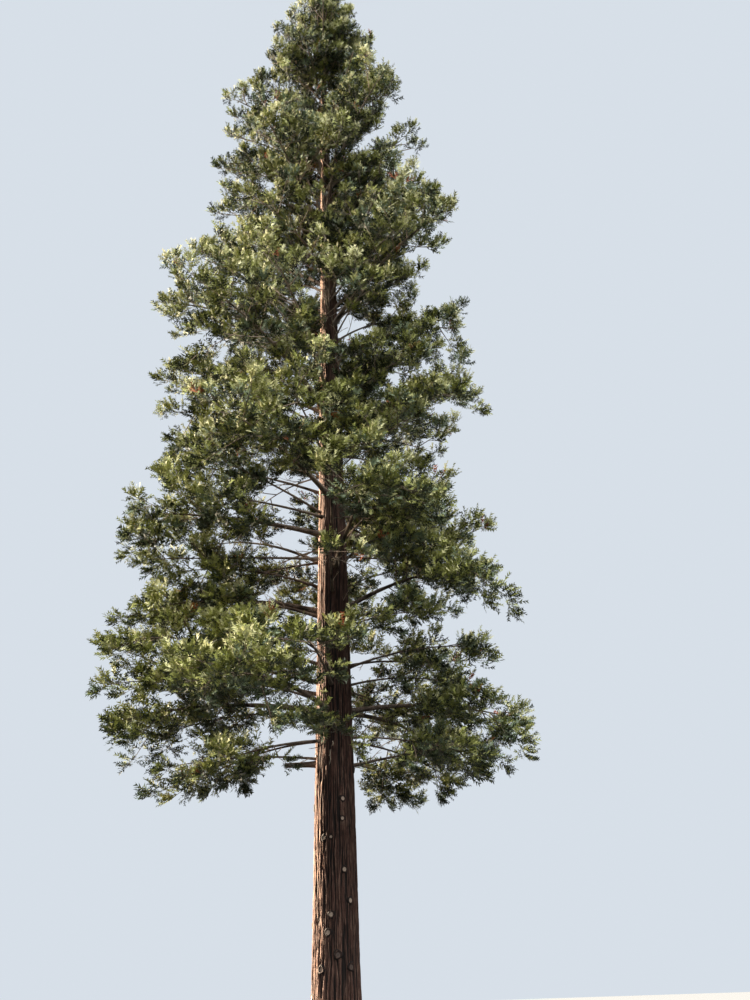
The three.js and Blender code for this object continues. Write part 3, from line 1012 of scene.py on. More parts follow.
@dataclass(frozen=True)
class SproutKind:
    """The short leafy shoots straight from the trunk near a limb's root, in metres and degrees."""

    first_tier: int = 3
    count: int = 3
    rise: float = 0.8
    turn: float = 70.0
    leaving: tuple[float, float] = (30.0, 55.0)
    arriving: tuple[float, float] = (0.0, 30.0)
    reach: tuple[float, float] = (0.6, 1.1)
    root_radius: float = 0.016
    tip_radius: float = 0.006
    foliage_from: float = 0.35
    twigs: int = 3
    overlap: float = 1.5


@dataclass(frozen=True)
class LeaderKind:
    """The leader, which carries the trunk's line on above its top and leafs out below it too."""

    name: str = "10_leader"
    foot: float = 21.6
    rise: float = 1.25
    reach: float = 1.75
    spray_size: float = 0.56
    twigs: int = 44
    overlap: float = 0.7
    seed: int = 99


@dataclass
class CrownPlan:
    """Where every limb of the crown goes, worked out by the source's rule.

    Pairs of numbers of twigs are for the low tiers and the others. Other pairs are the ends of a range to
    draw from.
    """

    trunk: Trunk
    sprout: SproutKind = SproutKind()
    leader: LeaderKind = LeaderKind()
    tree_height: float = 25.25
    lowest_tip: float = 4.85
    bearing_jitter: float = 9.0
    reach_jitter: float = 0.06
    slope_jitter: float = 6.0
    right_side_loss: float = 0.16
    slenderness: float = 0.0172
    first_seed: int = 100
    lesser_seeds: int = 500
    bough_share: float = 0.36
    stem_end_radius: float = 0.010
    spray_length: float = 1.65
    spray_overhang: float = 0.5
    full_size_reach: float = 3.8
    main_twigs: tuple[int, int] = (13, 10)
    low_tiers: int = 3
    lesser_twigs: tuple[int, int] = (5, 4)
    lesser_lifts: tuple[float, float] = (0.85, 1.15)
    lesser_turns: tuple[float, float] = (0.7, 1.3)
    lesser_girths: tuple[float, float] = (0.5, 0.75)
    lesser_end_radius: float = 0.008
    lesser_bare_share: float = 0.06
    lesser_lengths: tuple[float, ...] = (1.0, 0.85, 0.7, 0.55)
    leafy_room: float = 0.25
    trunk_step: float = 0.2
    stem_points: int = 36
    limbs: list[Limb] = field(default_factory=list)

    def __post_init__(self) -> None:
        """Plan the limbs, the leader and the points that foliage keeps clear of."""
        for index, tier in enumerate(TIERS):
            stream = SeededStream(index + 1)
            for place in range(tier.limbs):
                self.limbs.append(self.plan_limb(index, place, stream))
        self.limbs.append(self.plan_leader())
        self.centres = np.array([limb.centre for limb in self.limbs])
        self.obstacles, self.obstacle_radii, self.owners = self.limb_points()

    def plan_limb(self, index: int, place: int, stream: SeededStream) -> Limb:
        """Plan one limb of a tier.

        Args:
            index: The tier's number from 0.
            place: The limb's place in the tier.
            stream: The tier's stream of numbers.

        Returns:
            The limb with its lesser stems.
        """
        tier = TIERS[index]
        is_second = place % 2 == 1
        bearing = tier.bearing + place * 360 / tier.limbs
        bearing += (stream.spread(self.bearing_jitter) if place else 0.0) + (tier.skew if is_second else 0.0)
        change = stream.spread(self.reach_jitter) if place else 0.0
        right_share = max(0.0, math.cos(math.radians(bearing)))
        reach = tier.reach * (1 + change) * (1 - self.right_side_loss * right_share)
        height = tier.height + (tier.stagger if is_second else 0.0)
        spray_size = min(1.0, reach / self.full_size_reach)
        level = reach - self.spray_length * spray_size * self.spray_overhang
        line = LimbLine.sloping(self.trunk.middle(height), bearing, tier.leaving, tier.arriving, level)
        foliage_from = self.bough_share if index < BOUGH_TIERS else 0.0
        twigs = round(self.main_twigs[index >= self.low_tiers] * spray_size)
        side = SIDE_NAMES[round(bearing % 360 / 360 * len(SIDE_NAMES)) % len(SIDE_NAMES)]
        radius, buried = line.length * self.slenderness, self.trunk.buried(line)
        main = Stem(line, radius, self.stem_end_radius, buried, foliage_from, twigs)
        seed = self.first_seed + len(self.limbs)
        limb = Limb(f"{index + 1}_{side}", index, main, reach, spray_size, seed, height, bearing, level)
        lesser_stream = SeededStream(seed + self.lesser_seeds)
        for beside in (*BESIDE, *MORE_LIMBS.get(limb.name, ())):
            limb.lesser.append(self.plan_lesser(limb, beside, lesser_stream))
        if index >= self.sprout.first_tier:
            limb.lesser.extend(self.plan_sprout(limb, lesser_stream) for _ in range(self.sprout.count))
        return limb

    def plan_lesser(self, limb: Limb, beside: Beside, stream: SeededStream) -> Stem:
        """Plan a thinner limb that leaves the trunk near a main one and shares its foliage.

        It is shortened until its tip lies inside the crown's outline.

        Args:
            limb: The limb it goes with.
            beside: How it differs from the main limb.
            stream: The stream of numbers of the limb's lesser stems.

        Returns:
            The lesser stem.
        """
        tier = TIERS[limb.tier]
        start = self.trunk.middle(limb.height + beside.lift * stream.between(*self.lesser_lifts))
        reach = limb.level * stream.between(beside.least, beside.most)
        heading = limb.bearing + beside.turn * stream.between(*self.lesser_turns)
        leaving = tier.leaving + beside.leaving + stream.spread(self.slope_jitter)
        arriving = tier.arriving + beside.arriving + stream.spread(self.slope_jitter)
        for share in self.lesser_lengths:
            line = LimbLine.sloping(start, heading, leaving, arriving, reach * share)
            if self.outline_reach(line.at(1)) > math.hypot(*line.at(1)[:2]) + self.leafy_room:
                break
        radius = line.length * self.slenderness * stream.between(*self.lesser_girths)
        foliage_from = limb.main.foliage_from + self.lesser_bare_share
        twigs = self.lesser_twigs[limb.tier >= self.low_tiers]
        return Stem(line, radius, self.lesser_end_radius, self.trunk.buried(line), foliage_from, twigs)

    def plan_sprout(self, limb: Limb, stream: SeededStream) -> Stem:
        """Plan a leafy shoot near a limb's root.

        Args:
            limb: The limb.
            stream: The stream of numbers of the limb's lesser stems.

        Returns:
            The shoot.
        """
        kind = self.sprout
        start = self.trunk.middle(limb.height + stream.spread(kind.rise))
        slopes = stream.between(*kind.leaving), stream.between(*kind.arriving)
        bearing = limb.bearing + stream.spread(kind.turn)
        line = LimbLine.sloping(start, bearing, *slopes, stream.between(*kind.reach))
        radii, buried = (kind.root_radius, kind.tip_radius), self.trunk.buried(line)
        return Stem(line, *radii, buried, kind.foliage_from, kind.twigs, kind.overlap)

    def plan_leader(self) -> Limb:
        """Plan the leader.

        Returns:
            The leader as a limb.
        """
        kind, trunk = self.leader, self.trunk
        points = [trunk.middle(height) for height in (kind.foot, trunk.top)]
        line = LimbLine(np.array([*points, points[-1] + UP * kind.rise]))
        buried = (trunk.top - kind.foot) / line.length
        radius = trunk.radius(kind.foot)
        main = Stem(line, radius, self.stem_end_radius, buried, 0.0, kind.twigs, kind.overlap)
        return Limb(kind.name, len(TIERS), main, kind.reach, kind.spray_size, kind.seed, is_leader=True)

    def limb_points(self) -> tuple[Array, Array, Array]:
        """List points along the trunk and the main stems.

        Returns:
            The points, and the radius and the owner at each: a limb's number, or -1 for bare wood.
        """
        points, radii, owners = [], [], []
        for height in np.arange(0, self.trunk.top, self.trunk_step):
            points.append(self.trunk.middle(height))
            radii.append(self.trunk.radius(height))
            owners.append(-1)
        for number, limb in enumerate(self.limbs):
            stem = limb.main
            for share in np.linspace(0, 1, self.stem_points):
                points.append(stem.line.at(share))
                radii.append(stem.root_radius + (stem.tip_radius - stem.root_radius) * share)
                owners.append(number if share > stem.foliage_from else -1)
        return np.array(points), np.array(radii), np.array(owners)

    @staticmethod
    def outline_reach(spot: Array) -> float:
        """Give how far out the crown reaches at a spot's height."""
        return float(np.interp(spot[2], OUTLINE_HEIGHTS, OUTLINE_REACHES))

    def has_room(self, middle: Array, tip: Array, limb: Limb, margin: float) -> bool:
        """Say whether a tuft or a twig lies in its limb's own space.

        Args:
            middle: Its middle.
            tip: Its tip.
            limb: The limb that bears it.
            margin: How far its middle may lie past the border of the next limb's space.

        Returns:
            Whether its tip keeps to the limb's reach and its middle to the limb's space.
        """
        reach = min(limb.reach, self.outline_reach(tip))
        if math.hypot(tip[0], tip[1]) > reach or not self.lowest_tip < tip[2] < self.tree_height:
            return False
        number = self.limbs.index(limb)
        to_all = ((self.centres - middle) ** 2).sum(axis=1)
        apart = np.linalg.norm(self.centres - self.centres[number], axis=1)
        apart[number] = 1.0
        past = (to_all[number] - to_all) / (2 * apart)
        past[number] = -math.inf
        return bool(past.max() < margin)

    def clear_of_wood(self, points: Array, limb: Limb, clearance: float) -> Array:
        """Say which points are clear of the trunk and of the other limbs.

        Args:
            points: The points, one a row.
            limb: The limb whose own wood doesn't count.
            clearance: The least gap.

        Returns:
            One truth value for each point.
        """
        foreign = self.owners != self.limbs.index(limb)
        gaps = np.linalg.norm(points[:, None, :] - self.obstacles[foreign][None], axis=2)
        return (gaps - self.obstacle_radii[foreign]).min(axis=1) > clearance


@dataclass
class Boughs:
    """The woody limbs of the crown: boughs and stems with a skin of rough bark, and the sawn stub."""

    plan: CrownPlan
    main_sides: int = 12
    lesser_sides: int = 8
    lesser_lumps: int = 50
    ring_step: float = 0.11
    least_rings: int = 8
    thinning: float = 0.85
    collar: float = 0.55
    collar_run: float = 0.12
    lump: float = 0.10
    lump_density: float = 5.0
    small_lump_density: float = 3.1
    crack_shade: float = 1.6
    stub_height: float = 5.45
    stub_bearing: float = 186.0
    stub_slope: float = -2.0
    stub_length: float = 0.56
    stub_root_radius: float = 0.052
    stub_end_radius: float = 0.043
    stub_sides: int = 20
    stub_lumps: int = 31

    def stem_skin(self, stem: Stem, sides: int, seed: int) -> tuple[Array, list[Face], Array]:
        """Build the skin of one stem, with a collar at the trunk and lumps, whose hollows are painted dark as
        shade.

        Args:
            stem: The stem.
            sides: How many points go round it.
            seed: Where its lumps lie.

        Returns:
            The points, the faces and the depths of the painted shade.
        """
        rings = max(self.least_rings, round(stem.line.length * (1 - stem.buried) / self.ring_step))
        points, shade_depths = [], []
        across = across_to(stem.line.heading(stem.buried))
        for ring in range(rings):
            share = stem.buried + (1 - stem.buried) * ring / (rings - 1)
            middle, heading = stem.line.at(share), stem.line.heading(share)
            across = unit(across - heading * (across @ heading))
            upright = np.cross(heading, across)
            radius = stem.root_radius + (stem.tip_radius - stem.root_radius) * share ** self.thinning
            out = (share - stem.buried) * stem.line.length
            radius *= 1 + self.collar * math.exp(-out / self.collar_run)
            for side in range(sides):
                turn = side / sides * math.tau
                aim = across * math.cos(turn) + upright * math.sin(turn)
                spot = Vector((middle + aim * radius) * self.lump_density) + Vector((seed, 0, 0))
                bump = noise.noise(spot) + 0.5 * noise.noise(spot * self.small_lump_density)
                points.append(middle + aim * radius * (1 + self.lump * bump))
                # Painted shade: the deeper a lump's hollow, the darker it is painted.
                shade_depths.append(min(1.0, max(0.0, -bump * self.crack_shade)))
        return np.array(points), swept_faces(rings, sides), np.array(shade_depths)

    def join(self, name: str, skins: Sequence[tuple[Array, list[Face], Array]]) -> bpy.types.Object:
        """Join the skins of several stems into one piece.

        Args:
            name: The piece's name.
            skins: The points, faces and depths of painted shade of each stem.

        Returns:
            The piece.
        """
        faces: list[Face] = []
        first = 0
        for points, skin_faces, _ in skins:
            faces.extend(tuple(corner + first for corner in face) for face in skin_faces)
            first += len(points)
        points, shade_depths = (np.concatenate([skin[part] for skin in skins]) for part in (0, 2))
        return mesh_object(name, points, faces, [BOUGH_BARK.material()], furrow=shade_depths)

    def tier_piece(self, tier: int) -> tuple[bpy.types.Object, list[str]]:
        """Build the limbs of one tier.

        Args:
            tier: The tier's number from 0.

        Returns:
            The piece and the nodes that it stands for.
        """
        limbs = [limb for limb in self.plan.limbs if limb.tier == tier]
        skins = []
        for limb in limbs:
            skins.append(self.stem_skin(limb.main, self.main_sides, limb.seed))
            lumps = limb.seed + self.lesser_lumps
            skins.extend(self.stem_skin(stem, self.lesser_sides, lumps) for stem in limb.lesser)
        nodes = [limb.bough_node if limb.has_bough else limb.foliage_node for limb in limbs]
        name = "leader_limb" if limbs[0].is_leader else f"boughs_tier_{tier + 1}"
        return self.join(name, skins), nodes

    def stub(self) -> bpy.types.Object:
        """Build the stub of a sawn limb, with rings on its cut end.

        Returns:
            The piece.
        """
        trunk = self.plan.trunk
        start = trunk.middle(self.stub_height)
        reach = trunk.radius(self.stub_height) + self.stub_length
        line = LimbLine(np.array([start, start + direction(self.stub_bearing, self.stub_slope) * reach]))
        stem = Stem(line, self.stub_root_radius, self.stub_end_radius, trunk.buried(line))
        points, faces, shade_depths = self.stem_skin(stem, self.stub_sides, self.stub_lumps)
        radii = np.linalg.norm(points - points[-self.stub_sides:].mean(axis=0), axis=1)
        finishes = [BOUGH_BARK.material(), CUT_WOOD.material()]
        made = mesh_object("sawn_stub_wood", points, faces, finishes, furrow=shade_depths, ring=radii)
        cut_end = made.data.polygons[len(faces) - 1]
        cut_end.material_index = 1
        cut_end.use_smooth = False
        return made


@dataclass
class TuftPattern:
    """One pattern of a tuft of shoots, one unit long, along +X with its upper side to +Z.

    It holds its branchlets as pairs of points, and its sprigs as roots, headings, faces and lengths.
    """

    seed: int
    branchlets: int = 9
    axis_length: float = 0.52
    first_share: float = 0.10
    share_jitter: float = 0.6
    low_angle: float = 76.0
    high_angle: float = 22.0
    branchlet_length: float = 0.42
    branchlet_loss: float = 0.35
    upturn: float = 0.35
    bend: float = 0.6
    flatness: float = 0.80
    end_share: float = 0.7
    end_upturn: float = 0.2
    end_length: float = 0.36
    sprigs: int = 4
    bare_share: float = 0.25
    sprig_length: float = 0.225
    sprig_angle: float = 40.0
    sprig_jitter: float = 14.0
    sprig_wander: float = 0.2
    sprig_lift: float = 0.30
    roll: float = 75.0
    lengths_from_to: tuple[float, float] = (0.8, 1.2)

    def __post_init__(self) -> None:
        """Draw the pattern from its seed."""
        self.stream = SeededStream(self.seed)
        self.ends: list[tuple[Array, Array]] = []
        self.made: list[tuple[Array, Array, Array, float]] = []
        first_turn = self.stream.draw() * 360
        for index in range(self.branchlets):
            share = (index + self.share_jitter * self.stream.draw()) / self.branchlets
            angle = math.radians(self.low_angle + (self.high_angle - self.low_angle) * share)
            turn = math.radians(first_turn + index * GOLDEN_ANGLE)
            radial = np.array([0.0, math.cos(turn), math.sin(turn) * self.flatness])
            heading = unit(AHEAD * math.cos(angle) + radial * math.sin(angle) + UP * self.upturn)
            root = AHEAD * self.axis_length * (self.first_share + (1 - self.first_share) * share)
            length = self.branchlet_length * (1 - self.branchlet_loss * share)
            self.add_branchlet(root, heading, length * self.stream.between(*self.lengths_from_to))
        tip = AHEAD * self.axis_length
        self.add_branchlet(tip * self.end_share, unit(AHEAD + UP * self.end_upturn), self.end_length)
        self.branchlet_ends = np.array(self.ends)
        self.roots, self.headings, self.faces, self.lengths = (np.array(column) for column in zip(*self.made))

    def add_branchlet(self, root: Array, heading: Array, length: float) -> None:
        """Add a side shoot with its sprigs.

        Args:
            root: Where it leaves the tuft's axis.
            heading: Which way it goes.
            length: How long it is.
        """
        bent = unit(heading + UP * self.upturn * self.bend)
        end = root + (heading * 0.5 + bent * 0.5) * length
        self.ends.append((root, end))
        normal = unit(np.cross(heading, across_to(heading)))
        for index in range(self.sprigs + 1):
            is_tip = index == self.sprigs
            share = 1.0 if is_tip else self.bare_share + (1 - self.bare_share) * index / self.sprigs
            angle = 0.0 if is_tip else (self.sprig_angle if index % 2 else -self.sprig_angle)
            aim = turned(bent, normal, angle + self.stream.spread(self.sprig_jitter))
            aim = unit(aim + self.stream.vector(self.sprig_wander) + UP * self.sprig_lift)
            face = unit(np.cross(aim, np.cross(normal, aim)))
            face = turned(face, aim, self.stream.spread(self.roll))
            size = self.sprig_length * self.stream.between(*self.lengths_from_to)
            self.made.append((root + (end - root) * share, aim, face, size))


class PieceNodes:
    """Geometry nodes that turn a piece's bare points or edges into its faces, driven by named inputs."""

    def __init__(self, name: str, inputs: dict[str, str]) -> None:
        """Start the nodes with a geometry going in and out.

        Args:
            name: The node tree's name.
            inputs: The names of its other inputs, each with its kind of socket.
        """
        self.tree = bpy.data.node_groups.new(name, "GeometryNodeTree")
        self.socket("geometry", "Geometry", "INPUT")
        self.keys = {key: self.socket(key, kind, "INPUT") for key, kind in inputs.items()}
        self.socket("geometry", "Geometry", "OUTPUT")
        self.graph = NodeGraph(self.tree)
        self.given = self.graph.add("NodeGroupInput").outputs

    def socket(self, name: str, kind: str, way: str) -> str:
        """Add a socket to the tree's inputs or outputs and give its identifier."""
        made = self.tree.interface.new_socket(name, in_out=way, socket_type=f"NodeSocket{kind}")
        return made.identifier

    def attribute(self, name: str, kind: str = "FLOAT") -> bpy.types.NodeSocket:
        """Give the socket of what each point of the piece stores under a name."""
        node = self.graph.add("GeometryNodeInputNamedAttribute", {"Name": name}, data_type=kind)
        return node.outputs["Attribute"]

    def finish(self, geometry: bpy.types.NodeSocket) -> None:
        """Make the copies in a geometry real, give it the material and put it on the output.

        Args:
            geometry: The geometry's socket.
        """
        real = self.graph.add("GeometryNodeRealizeInstances", {"Geometry": geometry}).outputs[0]
        inputs = {"Geometry": real, "Material": self.given["material"]}
        dressed = self.graph.add("GeometryNodeSetMaterial", inputs).outputs[0]
        self.graph.add("NodeGroupOutput", {"geometry": dressed})

    def apply(self, piece: bpy.types.Object, **values: Any) -> None:
        """Run the nodes on a piece and leave the result as its plain mesh.

        Args:
            piece: The piece, with its bare points or edges.
            **values: The values of the inputs.
        """
        modifier = piece.modifiers.new(self.tree.name, "NODES")
        modifier.node_group = self.tree
        for name, value in values.items():
            modifier[self.keys[name]] = value
        evaluated = piece.evaluated_get(bpy.context.evaluated_depsgraph_get())
        plain = bpy.data.meshes.new_from_object(evaluated)
        piece.modifiers.clear()
        bare = piece.data
        piece.data = plain
        bpy.data.meshes.remove(bare)
        plain.name = piece.name


class TwigNodes(PieceNodes):
    """The geometry nodes that sweep a many-sided skin along runs of twigs."""

    def __init__(self) -> None:
        """Build the nodes."""
        super().__init__("twig_skin", {"sides": "Int", "material": "Material"})
        add = self.graph.add
        inputs = {
            "Curve": add("GeometryNodeMeshToCurve", {"Mesh": self.given["geometry"]}).outputs[0],
            "Profile Curve": add(
                "GeometryNodeCurvePrimitiveCircle", {"Resolution": self.given["sides"], "Radius": 1.0}
            ).outputs[0],
            "Scale": self.attribute("twig_radius"),
        }
        self.finish(add("GeometryNodeCurveToMesh", inputs).outputs[0])


class SprigNodes(PieceNodes):
    """The geometry nodes that set one of several sprigs on every point, turned and sized by attributes."""

    def __init__(self, sprigs: Sequence[bpy.types.Object]) -> None:
        """Build the nodes.

        Args:
            sprigs: The sprigs to choose from, each one unit long along +X with its face to +Z.
        """
        super().__init__(
            "needle_sprigs", {"size": "Float", "change": "Float", "seed": "Int", "material": "Material"}
        )
        graph, given = self.graph, self.given
        kinds = graph.add("GeometryNodeJoinGeometry")
        for sprig in sprigs:
            info = graph.add("GeometryNodeObjectInfo", {"Object": sprig, "As Instance": True})
            self.tree.links.new(info.outputs["Geometry"], kinds.inputs[0])
        axes = {
            "Primary Axis": self.attribute("heading", "FLOAT_VECTOR"),
            "Secondary Axis": self.attribute("face", "FLOAT_VECTOR"),
        }
        turn = graph.add("FunctionNodeAxesToRotation", axes, primary_axis="X", secondary_axis="Z")
        sizes = {
            "Min_001": graph.math("SUBTRACT", 1.0, given["change"]),
            "Max_001": graph.math("ADD", 1.0, given["change"]),
            "Seed": given["seed"],
        }
        change = graph.add("FunctionNodeRandomValue", sizes, data_type="FLOAT")
        numbers = {"Min_002": 0, "Max_002": len(sprigs) - 1, "Seed": given["seed"]}
        pick = graph.add("FunctionNodeRandomValue", numbers, data_type="INT")
        size = graph.math("MULTIPLY", self.attribute("length"), given["size"])
        inputs = {
            "Points": given["geometry"],
            "Instance": kinds.outputs["Geometry"],
            "Pick Instance": True,
            "Instance Index": graph.find(pick.outputs, "Value_002"),
            "Rotation": turn.outputs["Rotation"],
            "Scale": graph.math("MULTIPLY", size, graph.find(change.outputs, "Value_001")),
        }
        self.finish(graph.add("GeometryNodeInstanceOnPoints", inputs).outputs["Instances"])


@dataclass
class TwigRuns:
    """Runs of twigs, each a row of points with radii, gathered for one piece."""

    points: list[Array] = field(default_factory=list)
    radii: list[Array] = field(default_factory=list)

    def add(self, points: Array, root_radius: float, tip_radius: float) -> None:
        """Add one twig with an even taper."""
        self.points.append(points)
        self.radii.append(np.linspace(root_radius, tip_radius, len(points)))

    def piece(
        self, name: str, nodes: TwigNodes, sides: int, material: bpy.types.Material
    ) -> bpy.types.Object:
        """Build the skin of every run as one piece.

        Args:
            name: The piece's name.
            nodes: The geometry nodes that make the skin.
            sides: How many sides each twig has.
            material: Its material.

        Returns:
            The piece.
        """
        edges: list[tuple[int, int]] = []
        first = 0
        for run in self.points:
            edges.extend((first + step, first + step + 1) for step in range(len(run) - 1))
            first += len(run)
        radii = np.concatenate(self.radii)
        made = mesh_object(name, np.concatenate(self.points), edges=edges, twig_radius=radii)
        nodes.apply(made, sides=sides, material=material)
        set_attribute(made.data, "furrow", np.zeros(len(made.data.vertices)))
        return made


@dataclass
class SprigCloud:
    """Every sprig of one zone, by tuft: the roots, tones, headings, faces and lengths of its sprigs."""

    tufts: list[tuple[Array, ...]] = field(default_factory=list)

    def points(self, name: str, tone: int) -> bpy.types.Object:
        """Build the points of one tone's sprigs, with the attributes that the geometry nodes read.

        Args:
            name: The name of the piece to come.
            tone: The tone's number.

        Returns:
            An object of bare points.
        """
        roots, tones, *others = (np.concatenate(column) for column in zip(*self.tufts))
        heading, face, length = (column[tones == tone] for column in others)
        return mesh_object(name, roots[tones == tone], heading=heading, face=face, length=length)


class CrownZone(Enum):
    """The parts of the crown that share a piece, each with its tiers."""

    LOWER = ("lower", (0, 1, 2))
    MIDDLE = ("middle", (3, 4, 5))
    UPPER = ("upper", (6, 7, 8, 9))


@dataclass
class SprigKind:
    """One kind of sprig, one unit long: needles in two ranks along its axis."""

    seed: int
    pairs: int = 3
    first_share: float = 0.14
    last_share: float = 0.84
    needle: float = 0.51
    needle_foot: float = 0.15
    low_angle: float = 28.0
    high_angle: float = 56.0
    lift: float = 0.5
    shortening: float = 0.4
    foot_share: float = 0.7
    spread: float = 0.6
    full_from: float = 3.0
    length_change: float = 0.15
    place_change: float = 0.03

    def build(self) -> bpy.types.Object:
        """Build the helper object that the geometry nodes copy.

        Returns:
            The object, with bare needles.
        """
        stream = SeededStream(self.seed)
        points: list[tuple[float, float, float]] = []
        faces: list[Face] = []
        for pair in range(self.pairs):
            share = self.first_share + (self.last_share - self.first_share) * pair / (self.pairs - 1)
            fullness = self.foot_share + self.spread * min(1.0, share * self.full_from)
            longest = self.needle * (1 - self.shortening * share) * fullness
            for side in (-1, 1):
                length = longest * stream.between(1 - self.length_change, 1 + self.length_change)
                angle = math.radians(stream.between(self.low_angle, self.high_angle))
                base = share + stream.spread(self.place_change)
                rise = stream.spread(self.lift) * length
                tip = (base + length * math.cos(angle), side * length * math.sin(angle), rise)
                first = len(points)
                points.extend([(base - self.needle_foot, 0, 0), (base + self.needle_foot, 0, 0), tip])
                faces.append((first, first + 1, first + 2) if side > 0 else (first + 1, first, first + 2))
        return mesh_object(f"sprig_{self.seed}", np.array(points), faces, smooth=False)


@dataclass
class Growth:
    """What grows on one stem: its limb, the limb's stream of numbers, and where the twigs and sprigs go."""

    limb: Limb
    stem: Stem
    stream: SeededStream
    twigs: TwigRuns
    cloud: SprigCloud


@dataclass
class Foliage:
    """The twigs and needles of the crown, grown on from the limbs by the source's rule.

    Lengths are in metres and angles in degrees. Shares of a stem count from its root, and the tone of a sprig
    goes by how lit it is, from about 0 to 1.
    """

    plan: CrownPlan
    patterns: int = 14
    first_pattern_seed: int = 200
    sprig_kinds: int = 5
    first_sprig_seed: int = 400
    sprig_change: float = 0.12
    twig_sides: int = 3
    tuft_length: float = 0.58
    small_tuft: float = 0.75
    tuft_lengths: tuple[float, float] = (0.85, 1.15)
    tuft_sizes: tuple[float, ...] = (1.0, 0.8, 0.6)
    twig_reach_share: float = 0.30
    short_stem_gain: float = 1.1
    twig_loss: float = 0.3
    first_share: float = 0.06
    first_share_at_trunk: float = 0.22
    last_share: float = 0.97
    place_jitter: float = 0.5
    upper_tuft_lift: float = 1.0
    under_tuft_lift: float = -0.6
    low_angle: float = 72.0
    high_angle: float = 42.0
    twig_lift: float = 0.75
    twig_lengths: tuple[float, float] = (0.7, 1.15)
    twig_sizes: tuple[float, ...] = (1.0, 0.8, 0.6, 0.4)
    twig_points: int = 5
    twig_bend: float = 0.7
    twig_bend_change: float = 0.15
    wander: float = 0.28
    roll: float = 28.0
    lowest_foliage: float = 5.0
    lowest_lift: float = -0.26
    highest_lift: float = 0.42
    leader_twig: float = 1.30
    leader_twig_loss: float = 0.5
    leader_low_slope: float = -5.0
    leader_slope_gain: float = 55.0
    hanging_room: float = 0.35
    twig_radius: float = 0.014
    twig_taper: float = 0.35
    tuft_radius: float = 0.006
    branchlet_radius: float = 0.003
    tuft_taper: float = 0.5
    side_angle: float = 52.0
    side_lift: float = 0.4
    long_twig: float = 0.7
    long_twig_tufts: tuple[float, ...] = (0.72, 0.38)
    short_twig_tufts: tuple[float, ...] = (0.55,)
    wood_clearance: float = 0.03
    least_kept: float = 0.4
    bare_reaches: tuple[float, ...] = (0.8, 1.1, 1.2, 0.5)
    shoots_share: float = 0.12
    dead_share: float = 0.06
    dead_sprigs: int = 4
    cool_share: float = 0.3
    tone_steps: tuple[float, ...] = (0.30, 0.63, 0.87)
    forward_light: float = 0.3
    light_change: float = 0.22
    outward_light: float = 0.45
    outward_middle: float = 0.72
    rise_light: float = 0.50
    most_rise: float = 0.5
    tuft_light_change: float = 0.24

    def __post_init__(self) -> None:
        """Draw the tuft patterns."""
        self.tufts = [TuftPattern(self.first_pattern_seed + number) for number in range(self.patterns)]

    def twig_heading(self, on: Growth, index: int, share: float, ahead: Array) -> Array:
        """Choose the way a side twig leaves its stem.

        Args:
            on: The stem it grows on.
            index: The twig's number on the stem.
            share: How far out on the stem it is.
            ahead: The stem's heading there.

        Returns:
            The unit heading: to the two sides in turn, or all round on the leader.
        """
        if on.limb.is_leader:
            return direction(index * GOLDEN_ANGLE, self.leader_low_slope + self.leader_slope_gain * share)
        angle = self.low_angle + (self.high_angle - self.low_angle) * share
        aim = turned(ahead, UP, -angle if index % 2 else angle)
        return unit(aim + UP * on.stream.spread(self.twig_lift))

    def tuft_lift(self, spot: Array) -> float:
        """Give how much a tuft turns up: it hangs low in the crown and stands up near its top."""
        share = (spot[2] - self.lowest_foliage) / (self.plan.tree_height - self.lowest_foliage)
        return self.lowest_lift + (self.highest_lift - self.lowest_lift) * share

    def grow(self, limb: Limb, twigs: TwigRuns, cloud: SprigCloud) -> None:
        """Grow the foliage of one limb on its main stem and its lesser ones.

        Args:
            limb: The limb.
            twigs: Where its twigs go.
            cloud: Where its sprigs go.
        """
        stream = SeededStream(limb.seed)
        starts_at_trunk = not limb.has_bough and not limb.is_leader
        first = self.first_share_at_trunk if starts_at_trunk else self.first_share
        for stem in limb.stems():
            on = Growth(limb, stem, stream, twigs, cloud)
            self.add_tuft(on, stem.line.at(1), stem.line.heading(1))
            for index in range(stem.twigs):
                place = (index + self.place_jitter * stream.draw()) / stem.twigs
                share = first + (self.last_share - first) * place
                along = stem.foliage_from + (1 - stem.foliage_from) * share
                root, ahead = stem.line.at(along), stem.line.heading(along)
                heading = self.twig_heading(on, index, share, ahead)
                length = self.twig_length(on, share) * stream.between(*self.twig_lengths)
                self.add_twig(on, root, heading, length)
                if index % 2 == 0:
                    lift = self.upper_tuft_lift if index % 4 else self.under_tuft_lift
                    self.add_tuft(on, root, unit(ahead + UP * lift))

    def is_bare(self, limb: Limb, spot: Array) -> bool:
        """Say whether a spot lies in the bare space round the lower trunk, or in one of the openings."""
        is_inner = limb.tier < len(self.bare_reaches) and math.hypot(*spot[:2]) < self.bare_reaches[limb.tier]
        return is_inner or any(opening.holds(spot) for opening in OPENINGS)

    def twig_length(self, on: Growth, share: float) -> float:
        """Give how long a side twig is at a share of a stem's leafy part.

        Args:
            on: The stem.
            share: The share.

        Returns:
            The length.
        """
        if on.limb.is_leader:
            return self.leader_twig * (1 - self.leader_twig_loss * share)
        full = min(on.limb.reach, on.stem.line.length * self.short_stem_gain) * self.twig_reach_share
        return full * (1 - self.twig_loss * share)

